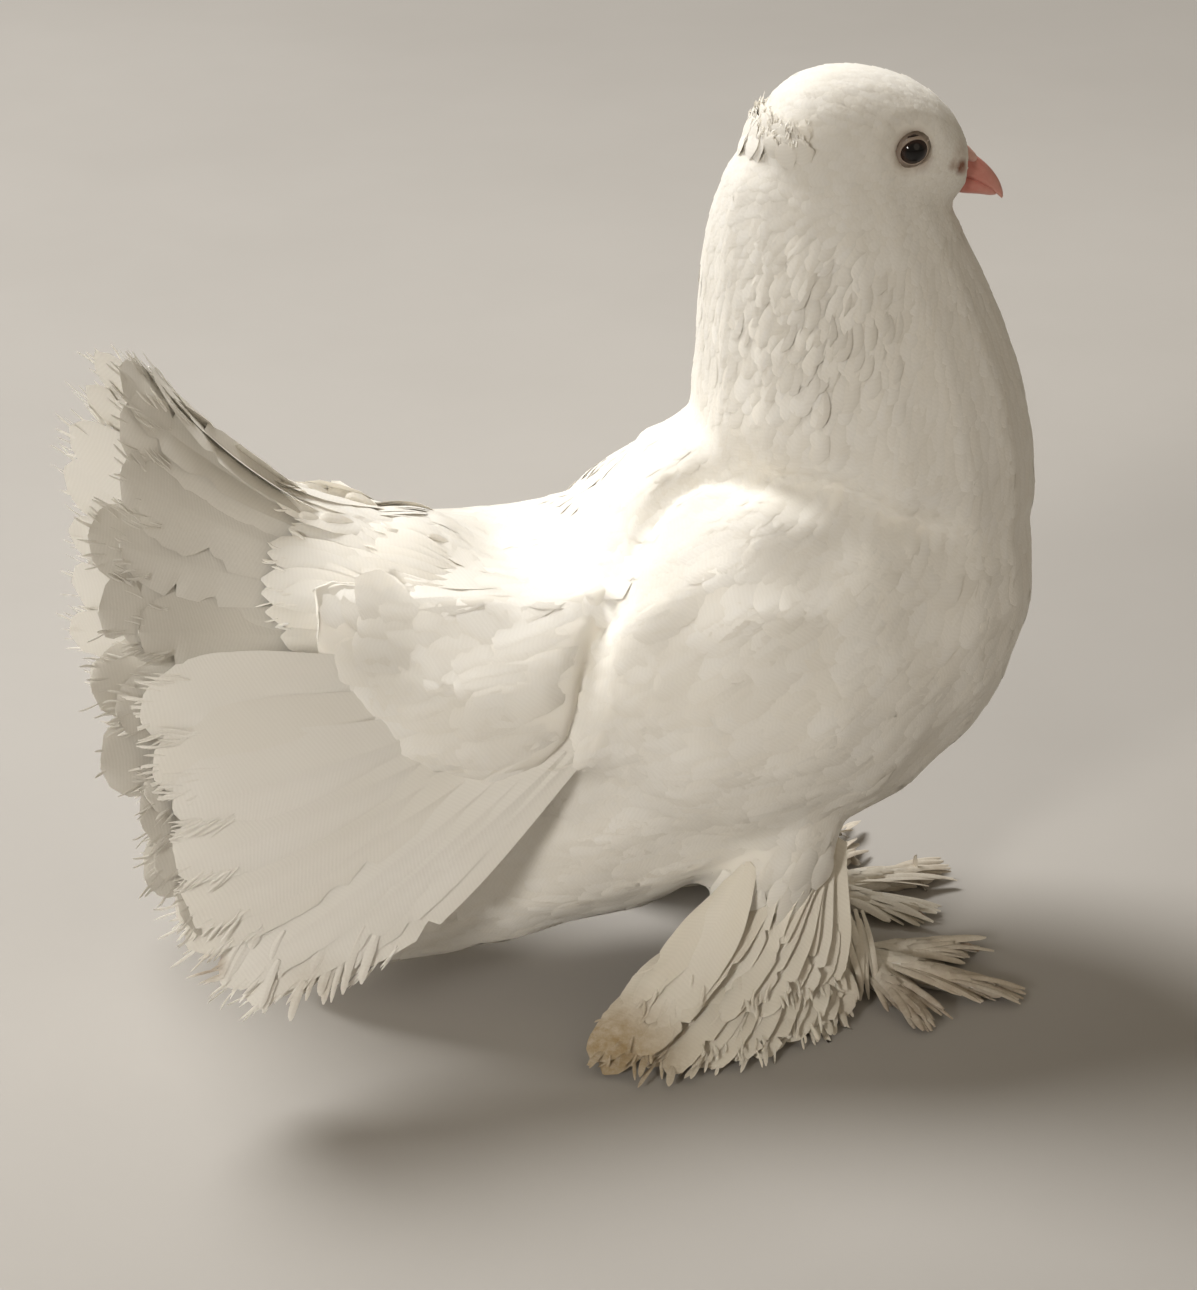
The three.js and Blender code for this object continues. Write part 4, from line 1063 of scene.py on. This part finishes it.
# --- crest: a short ragged half-collar turned up at the nape
cr = Quills()
S = 11
for row, (cnt, z0, Lc, lean_) in enumerate(((28, 248.5, 11.0, .4), (28, 250.5, 9.5, .2), (26, 252.5, 7.5, .1))):
    for i in range(cnt):
        a = math.radians(-52 + 104 * (i + .5 + rng.uniform(-.35, .35)) / cnt)
        out_ = np.array([-math.cos(a), math.sin(a), 0])
        c0 = np.array([-4.0, 0, z0 + 1.0 * (1 - abs(math.sin(a))) + rng.uniform(-2.6, 2.6)])
        hit, hn = BVH.ray_cast((c0 + out_ * 60).tolist(), (-out_).tolist())[:2]
        if hit is None:
            continue
        p0 = np.array(hit) - np.array(hn) * 1.0
        drop = abs(math.sin(a)) ** 2
        L_ = Lc * rng.uniform(.72, 1.06) * (1 - .30 * drop)
        dirn = unit(np.array([0, 0, 1.0]) * (1 - .25 * drop) + np.array([-.72 * drop + .12 * (1 - drop), 0, 0]) + np.array([rng.normal(0, .05), rng.normal(0, .05), 0]))
        p1 = p0 + dirn * L_ + out_ * lean_ * rng.uniform(.6, 1.3)
        h1 = BVH.find_nearest(p1.tolist())
        gap = (p1 - np.array(h1[0])) @ FN[h1[2]]
        want = (.5 + .45 * (2 - row)) * rng.uniform(.8, 1.3) + 1.2 * (1 - drop)
        p1 = p1 + FN[h1[2]] * (want - gap)
        mid = (p0 + p1) / 2 + out_ * (1.1 + .25 * (2 - row))
        ax = bezier(p0, mid, p1, S)
        w = outline(S, rng.uniform(2.6, 3.6), "round", .2, .55, .08, .05)
        cr.vane(ax, np.repeat(unit(out_ + np.array(hn))[None], S, 0), w, w, th=.20, slant=.2, camber=.06, roll=rng.normal(0, .03), shaft=0, root_shade_ease=.9)
        cr.fray(3, .78, (1.2, 2.4), (.2, .35), .05, .3)
cr.build("crest_feathers", M_FACE, "white_plumage", "crest")

# --- muffs: long feathers spread from the shanks, and strips over the toes
MUFF = {-1: np.array([[-39, 28.5, 33, -86, 58, 13.6], [-35.5, 29.5, 31, -80, 66, 10.4], [-29, 30.2, 27.5, -62, 69, 10.3], [-22, 30.4, 24.5, -44, 66, 10.3], [-14, 30.2, 21, -28, 58, 10.3], [-6, 29.6, 18, -12, 47, 10.3]]),
        1: np.array([[-39, 28.5, 33, -80, 56, 13.6], [-35.5, 29.5, 31, -64, 66, 10.4], [-29, 30.2, 27.5, -42, 71, 10.3], [-22, 30.4, 24.5, -18, 71, 10.3], [-15, 30.2, 21, 4, 66, 10.6], [-8, 29.6, 18.5, 21, 57, 13.0]])}
TOES = {-1: [("inner", -6, 30, 2.9), ("middle", 33, 38, 3.2), ("outer", 72, 28, 2.9), ("hind", 212, 19, 2.7)],
        1: [("inner", -28, 29, 2.9), ("middle", 8, 36, 3.2), ("outer", 50, 28, 2.9), ("hind", 188, 19, 2.7)]}
FOOT = {-1: np.array([0, -22.]), 1: np.array([-4, 21.])}
for g, side_name in ((-1, "right"), (1, "left")):
    q = Quills()
    T = MUFF[g]
    S = 28
    for layer, (cnt, sh, h0) in enumerate(((13, 1.0, 0.0), (11, .90, .9), (8, .74, 1.8))):
        for i in range(cnt):
            u = np.clip((i + .5 + rng.uniform(-.3, .3)) / cnt, 0, 1) * 5
            row = np.array([np.interp(u, range(6), T[:, k]) for k in range(6)])
            r, t = row[:3] * [1, g, 1], row[3:] * [1, g, 1]
            t = r + (t - r) * sh * rng.uniform(.9, 1.03)
            t[2] = max(t[2] + rng.uniform(-.8, 1.6) * (1 + layer), SOLE + .9)
            r = r + np.array([rng.uniform(-1, 1), g * .5, rng.uniform(-1, 1) + h0])
            n = unit(np.cross(t - r, np.array([1., g * .45, 0])))
            n = n if n[2] > 0 else -n
            mid = (r + t) / 2 + n * (8.0 + h0 + rng.uniform(-.6, .8)) + np.array([rng.uniform(-2, 2), 0, 0])
            ax = bezier(r, mid, t + n * h0 * .5, S)
            W = rng.uniform(5.8, 7.8) * (.9 if layer == 2 else 1)
            wl = outline(S, W, "round", .4, .6, .08, .07, int(rng.integers(0, 3)))
            wr = outline(S, W, "round", .4, .6, .08, .07, int(rng.integers(0, 3)))
            q.vane(ax, np.repeat(n[None], S, 0), wl, wr, th=.3, slant=.5, camber=.12, roll=rng.normal(0, .07), shaft=.35, wave=.4)
            q.fray(4, .74, (3, 7), (.3, .6), .08)
    # the topmost feathers come off the thigh and sweep back over the rest
    for i in range(14):
        u = (i + .5 + rng.uniform(-.3, .3)) / 14 * 4.6
        row = np.array([np.interp(u, range(6), T[:, k]) for k in range(6)])
        r, t = row[:3] * [1, g, 1], row[3:] * [1, g, 1]
        top_ = BVH.find_nearest([np.interp(u, [0, 4.6], [-38, -8]) + rng.uniform(-2, 2), g * (33 + rng.uniform(-1, 1)), 55 + rng.uniform(-5, 5)])
        a = np.array(top_[0]) + FN[top_[2]] * .2
        n = unit(np.cross(t - r, np.array([1., g * .45, 0])))
        n = n if n[2] > 0 else -n
        end = r + (t - r) * rng.uniform(.50, .74) + n * rng.uniform(5.0, 6.5)
        ax = bezier(a, r + (t - r) * .12 + n * 9.0 + np.array([0, g * 1.5, 3.0]), end, S)
        W = rng.uniform(5.0, 6.8)
        wl = outline(S, W, "round", .4, .5, .08, .06, 1)
        wr = outline(S, W, "round", .4, .5, .08, .06, 1)
        q.vane(ax, np.repeat(n[None], S, 0), wl, wr, th=.28, slant=.5, camber=.14, roll=rng.normal(0, .05), shaft=.2, wave=.3, root_shade_ease=.5)
        q.fray(5, .74, (3, 6), (.3, .6), .06)
    # shaggy strips that hang from the front of the shank over the ankle
    for i in range(54):
        x = rng.uniform(-20, 1) if i % 3 else rng.uniform(-32, -16)
        zt = np.interp(x, [-36, -18, 0], [38, 33, 27]) + rng.uniform(-3, 5)
        y = np.interp(x, [-36, -18, 0], [28.0, 29.0, 27.0]) + rng.uniform(-2.5, 1.0)
        a = np.array([x, g * y, zt])
        fall = zt - SOLE - rng.uniform(.8, 6) * (2.2 if x < -20 else 1)
        c = a + np.array([rng.uniform(-3, 5) + (.25 * (x + 10) if x < -10 else 0), g * rng.uniform(5, 13), -fall])
        m_ = (a + c) / 2 + np.array([rng.uniform(-1, 1), g * 3.5, 3.0])
        q.strip(a, m_, c, unit(np.array([.1, g * 1.0, .45])), rng.uniform(.8, 1.5), 12, .26, rng.normal(0, .25), .15)
    # the small fringe along the sheet's outer edge
    for i in range(30):
        u = rng.uniform(0, 5)
        row = np.array([np.interp(u, range(6), T[:, k]) for k in range(6)])
        r, t = row[:3] * [1, g, 1], row[3:] * [1, g, 1]
        a = r + (t - r) * rng.uniform(.72, .94)
        a[2] += 1.2
        dirn = unit(unit(t - r) * [1, 1, .2] + np.array([rng.uniform(-.35, .35), g * rng.uniform(0, .4), 0]))
        c = a + dirn * rng.uniform(7, 13)
        c[2] = max(c[2] - 1.0, SOLE + .6)
        m_ = (a + c) / 2 + np.array([0, 0, 1.0])
        ax = bezier(a, m_, c, 9)
        w = outline(9, rng.uniform(.6, 1.3), "round", .5, .5, .2)
        q.vane(ax, np.repeat([[0, g * .2, 1.]], 9, 0), w, w, th=.24, slant=.3, camber=.1, shaft=.1)
    # toe feathers
    for name, head_, L, r_ in TOES[g]:
        dx, dy = math.cos(math.radians(head_)), g * math.sin(math.radians(head_))
        cnt = 22 if name != "hind" else 9
        for i in range(cnt):
            k = rng.uniform(.12, .80)
            sd = rng.uniform(-1, 1)
            base = np.array([FOOT[g][0] + dx * L * k - dy * sd * r_, FOOT[g][1] + dy * L * k + dx * sd * r_, SOLE + 7.2 - 2.6 * k - .8 * abs(sd)])
            dirn = np.array([dx, dy, 0])
            pr = np.array([-dy, dx, 0])
            dirn = unit(dirn + pr * (sd * .16 + rng.normal(0, .12)))
            Lf = rng.uniform(14, 25) * (1.15 if name == "middle" else 1) * (.6 if name == "hind" else 1)
            Lf = min(Lf, L + 11 - L * k)
            end = base + dirn * Lf
            end[2] = SOLE + rng.uniform(.7, 4.2)
            m_ = (base + end) / 2 + np.array([0, 0, 2.2])
            q.strip(base, m_, end, (0, 0, 1.), rng.uniform(.9, 1.8), 12, rng.uniform(.7, 1.5), rng.normal(0, .25), .25)
    q.build("muff_feathers_" + side_name, M_MUFF, "muff_feathers", "muff_" + side_name)

# --- long loose feathers of the thigh fall over the shank and the root of the muff
th_ = Quills()
for g in (-1, 1):
    cand = np.where((K0 == "thigh") & (P0[:, 2] < 68) & (P0[:, 1] * g > 0))[0]
    for i in rng.choice(cand, min(44, len(cand)), replace=False):
        p_, nn = P0[i], FN[F0[i]]
        d_ = lie(P0[i:i + 1], K0[i:i + 1])[0]
        d_ = unit(unit(d_ - (d_ @ nn) * nn) + np.array([rng.normal(-.05, .08), rng.normal(0, .08), -.5]))
        L_ = rng.uniform(12, 19)
        end = p_ + d_ * L_ + nn * .2
        end[2] = max(end[2], SOLE + 14)
        ax = bezier(p_ - nn * .3, (p_ + end) / 2 + nn * 1.6, end, 14)
        w = outline(14, rng.uniform(3.4, 5.0), "round", .5, .45, .08, .08)
        th_.vane(ax, np.repeat(nn[None], 14, 0), w, w, th=.22, slant=.4, camber=.14, roll=rng.normal(0, .03), shaft=0, wave=.1)
th_.build("thigh_feathers", M_BODY, "white_plumage")

# ---------------------------------------------------------------- eyes, lids, bill, cere
def eye_mesh(g):
    c = EYE * [1, g, 1]
    R_, nu, nv = 4.5, 48, 32
    v, fe = [], []
    for j in range(nv + 1):
        th = math.pi * j / nv
        for i in range(nu):
            ph = 2 * math.pi * i / nu
            # the pole looks out of the head
            x, z, y = math.sin(th) * math.cos(ph), math.sin(th) * math.sin(ph), math.cos(th)
            v.append(c + R_ * np.array([x, g * y, z]))
            fe.append((math.hypot(x * R_, z * R_) / 4.4, 0, 0))
    f = []
    for j in range(nv):
        for i in range(nu):
            a, b = j * nu + i, j * nu + (i + 1) % nu
            q = [a, b, b + nu, a + nu]
            f.append(q if g > 0 else q[::-1])
    v = np.array(v)
    # weld the poles
    f2 = []
    for q in f:
        r = [0 if x < nu else (nv * nu if x >= nv * nu else x) for x in q]
        r2 = []
        for x in r:
            if x not in r2:
                r2.append(x)
        if len(r2) > 2:
            f2.append(r2)
    used = sorted({x for q in f2 for x in q})
    mp = {x: i for i, x in enumerate(used)}
    return v[used], [[mp[x] for x in q] for q in f2], np.array(fe)[used]


def lid_mesh(g, tilt=26):
    """The lids: an oval rim close on the eyeball that rolls out onto the skin."""
    c = EYE * [1, g, 1]
    n, prof = 56, [(0.0, -.9), (0.0, -.1), (.18, .30), (.45, .40), (.8, .30), (1.15, .10), (1.4, -.25), (1.7, -1.0)]
    v = []
    ca, sa = math.cos(math.radians(tilt)), math.sin(math.radians(tilt))
    for i in range(n):
        ph = 2 * math.pi * i / n
        for o_, h in prof:
            a, b = 3.75 + o_, 3.2 + o_
            e1, e2 = a * math.cos(ph), b * math.sin(ph)
            e2 += .5 * math.exp(-((ph - math.pi / 2) / .8) ** 2) * (0 if o_ > 0 else 1) * 0
            x, z = e1 * ca - e2 * sa, e1 * sa + e2 * ca
            rin = math.hypot(x, z)
            ball = math.sqrt(max(4.6 ** 2 - min(rin, 4.5) ** 2, .0))
            inner = ball
            loc = BVH.ray_cast((c[0] + x, g * 40, c[2] + z), (0, -g, 0))[0]
            sk = abs(loc[1]) - abs(c[1]) if loc is not None else ball
            k = smooth01(np.array(o_ / 2.1))
            y = inner * (1 - k) + (sk + .2) * k + h * .6
            y = max(y, (sk - .2) * float(k)) if o_ > .5 else y
            v.append((c[0] + x, c[1] + g * y, c[2] + z))
    m_ = len(prof)
    f = []
    for i in range(n):
        for j in range(m_):
            a, b = i * m_ + j, i * m_ + (j + 1) % m_
            a2, b2 = ((i + 1) % n) * m_ + j, ((i + 1) % n) * m_ + (j + 1) % m_
            q = [a, b, b2, a2]
            f.append(q if g < 0 else q[::-1])
    return np.array(v), f


for g, sn in ((1, "left"), (-1, "right")):
    v, f, fe = eye_mesh(g)
    o = piece("eyeball_" + sn, v, f, M_EYE, fe=fe)
    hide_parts("eye_" + sn)
    v, f = lid_mesh(g)
    piece("eyelids_" + sn, v, f, M_LID)

BILL_UP = np.array([[24, 242.4, 4.3, 4.6, 1.4], [28, 241.5, 4.2, 5.0, 1.9], [31.5, 240.1, 3.7, 4.5, 1.8], [35, 238.0, 3.0, 3.7, 1.5], [38, 235.5, 2.1, 2.7, 1.2], [40, 233.2, 1.2, 1.5, .8], [40.9, 231.8, .35, .5, .35]])
BILL_LOW = np.array([[24, 238.6, 3.9, 1.7, 3.2], [28, 237.8, 3.6, 1.6, 3.0], [31.5, 236.7, 3.0, 1.4, 2.6], [35, 235.2, 2.2, 1.1, 2.0], [37.6, 233.9, 1.3, .7, 1.3], [39, 233.0, .4, .3, .4]])


def rows(T, n):
    """Smooth rows through the table (Catmull-Rom)."""
    m_ = len(T) - 1
    out = []
    for i in range(n):
        u = i / (n - 1) * m_
        k = min(int(u), m_ - 1)
        t = u - k
        p0, p1, p2, p3 = T[max(k - 1, 0)], T[k], T[k + 1], T[min(k + 2, m_)]
        out.append(.5 * ((2 * p1) + (-p0 + p2) * t + (2 * p0 - 5 * p1 + 4 * p2 - p3) * t * t + (-p0 + 3 * p1 - 3 * p2 + p3) * t ** 3))
    return np.array(out)


def bill_half(T, upper):
    n, c = 30, 36
    Rw = rows(T, n)
    v = []
    for i in range(n):
        x, z, w, u, d_ = Rw[i]
        w, u, d_ = max(w, .12), max(u, .12), max(d_, .1)
        u = u + (0.0 if upper else 1.0 * smooth01((39.2 - x) / 3))
        d_ = d_ + (.5 * smooth01((36 - x) / 6) if not upper else .3 * smooth01((39 - x) / 4))
        # the rows lean with the bill's droop
        j0, j1 = max(i - 1, 0), min(i + 1, n - 1)
        sl = math.atan2(Rw[j1][1] - Rw[j0][1], Rw[j1][0] - Rw[j0][0]) * .5
        for k in range(c):
            t = 2 * math.pi * k / c
            cy, sz = math.cos(t), math.sin(t)
            e_ = 2 / 2.15
            y = w * math.copysign(abs(cy) ** e_, cy)
            zz = (u if sz > 0 else d_) * math.copysign(abs(sz) ** e_, sz)
            if upper and sz > 0:      # a gentle keel along the top
                y *= 1 - .10 * sz
            if upper:                 # the nostril's slit under the cere
                cut = math.exp(-((x - 31.8) / 1.5) ** 2) * math.exp(-((sz - .50) / .20) ** 2)
                y *= 1 - .22 * cut
                tom = math.exp(-((sz + .35) / .25) ** 2)
                y *= 1 + .035 * tom
            v.append((x - math.sin(sl) * zz, y, z + math.cos(sl) * zz))
    f = []
    for i in range(n - 1):
        for k in range(c):
            a, b = i * c + k, i * c + (k + 1) % c
            f.append([a, b, b + c, a + c])
    f.append(list(range(c))[::-1])
    f.append([(n - 1) * c + k for k in range(c)])
    return np.array(v), f


for nm, T, up_ in (("upper", BILL_UP, True), ("lower", BILL_LOW, False)):
    v, f = bill_half(T, up_)
    o = piece("bill_horn_" + nm, v, f, M_BILL, sharp=50)
    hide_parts("bill_" + nm)


def cere_mesh():
    v, f, base = [], [], 0
    for g in (-1, 1):
        nu, nv = 24, 16
        for j in range(nv + 1):
            th = math.pi * j / nv
            for i in range(nu):
                ph = 2 * math.pi * i / nu
                x, y, z = math.cos(th), math.sin(th) * math.cos(ph), math.sin(th) * math.sin(ph)
                s_ = 1 + .05 * math.sin(7 * ph + 3 * th) * math.sin(th)
                q = np.array([3.9 * x, 2.0 * y * s_, 1.7 * z * s_])
                a = math.radians(32)
                q = np.array([q[0] * math.cos(a) + q[2] * math.sin(a), q[1], -q[0] * math.sin(a) + q[2] * math.cos(a)])
                v.append(np.array([29.4, g * 1.9, 245.6]) + q)
        for j in range(nv):
            for i in range(nu):
                a, b = base + j * nu + i, base + j * nu + (i + 1) % nu
                q = [a, b, b + nu, a + nu]
                lo, hi = base + nu, base + nv * nu
                q = [base if x < lo else (hi if x >= hi else x) for x in q]
                r = []
                for x in q:
                    if x not in r:
                        r.append(x)
                if len(r) > 2:
                    f.append(r[::-1])
        base += (nv + 1) * nu
    used = sorted({x for q in f for x in q})
    mp = {x: i for i, x in enumerate(used)}
    v = np.array(v)
    return v[used], [[mp[x] for x in q] for q in f]


v, f = cere_mesh()
o = piece("cere_lobes", v, f, M_CERE)
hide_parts("cere")

for n_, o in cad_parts.items():
    if n_.startswith("claw"):
        for s_ in o.material_slots:
            s_.link = "OBJECT"
            s_.material = M_CLAW

# ---------------------------------------------------------------- floor, light, camera
mf, nt, b = material("mat_floor", (0.42, 0.40, 0.375), 0.85, 0.2)
col = mix_colour(nt, noise(nt, 6, 4, .6), (0.44, 0.42, 0.395), (0.39, 0.37, 0.345))
nt.links.new(col, b.inputs["Base Color"])
me = bpy.data.meshes.new("floor")
me.from_pydata([(-6, -6, 0), (6, -6, 0), (6, 6, 0), (-6, 6, 0)], [], [(0, 1, 2, 3)])
me.materials.append(mf)
floor = bpy.data.objects.new("floor", me)
bpy.context.scene.collection.objects.link(floor)
floor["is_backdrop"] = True


def lamp(name, at, target, size, power, colour, cone=None):
    d = bpy.data.lights.new(name, "SPOT" if cone else "AREA")
    if cone:
        d.shadow_soft_size = size / 2; d.spot_size = math.radians(cone); d.spot_blend = 1.0
    else:
        d.shape = "DISK"; d.size = size
    d.energy = power; d.color = colour
    o = bpy.data.objects.new(name, d)
    o.location = at
    o.rotation_euler = (Vector(target) - Vector(at)).to_track_quat("-Z", "Y").to_euler()
    bpy.context.scene.collection.objects.link(o)


lamp("key_top", (-0.70, 0.80, 1.70), (0, 0, 0.12), 1.0, 45, (1.0, 0.99, 0.97))
lamp("tail_side", (-0.95, -0.95, 0.60), (-0.12, 0, 0.125), 0.5, 165, (1.0, 0.965, 0.91), 14)
lamp("fill_front", (0.9, -1.8, 1.1), (0, 0, 0.12), 1.6, 3, (1.0, 0.84, 0.66))
world = bpy.data.worlds.new("world")
bpy.context.scene.world = world
world.use_nodes = True
world.node_tree.nodes["Background"].inputs[0].default_value = (1.0, 0.885, 0.71, 1)
world.node_tree.nodes["Background"].inputs[1].default_value = 0.235
bpy.context.scene.view_settings.view_transform = "Standard"

el, az = math.radians(25), math.radians(-12)
back = np.array([math.sin(az) * math.cos(el), -math.cos(az) * math.cos(el), math.sin(el)])
right = unit(np.cross(-back, [0, 0, 1.]))
upv = np.cross(right, -back)
CAM = np.array([-294.447, -1055.387, 612.641])
cam = bpy.data.cameras.new("cam")
cam.lens = 1250.0 / 0.29 * 36 / 1290
cam.sensor_width = 36
cam.sensor_fit = "AUTO"
cam.clip_start = 0.01
co = bpy.data.objects.new("cam", cam)
Mx = Matrix.Identity(4)
for i in range(3):
    Mx[i][0], Mx[i][1], Mx[i][2], Mx[i][3] = right[i], upv[i], back[i], to_m(CAM)[0][i]
co.matrix_world = Mx
bpy.context.scene.collection.objects.link(co)
bpy.context.scene.camera = co

tot = 0
for o in PIECES:
    t_ = sum(len(p_.vertices) - 2 for p_ in o.data.polygons) if len(o.data.polygons) < 3000 else None
    if t_ is None:
        lt = np.empty(len(o.data.polygons), np.int32); o.data.polygons.foreach_get("loop_total", lt); t_ = int((lt - 2).sum())
    tot += t_
    says(o.name, t_)
VIS_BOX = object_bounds()
says("total", tot, "cad", [[round(float(x), 4) for x in p_] for p_ in CAD_BOX], "visual", [[round(float(x), 4) for x in p_] for p_ in VIS_BOX])
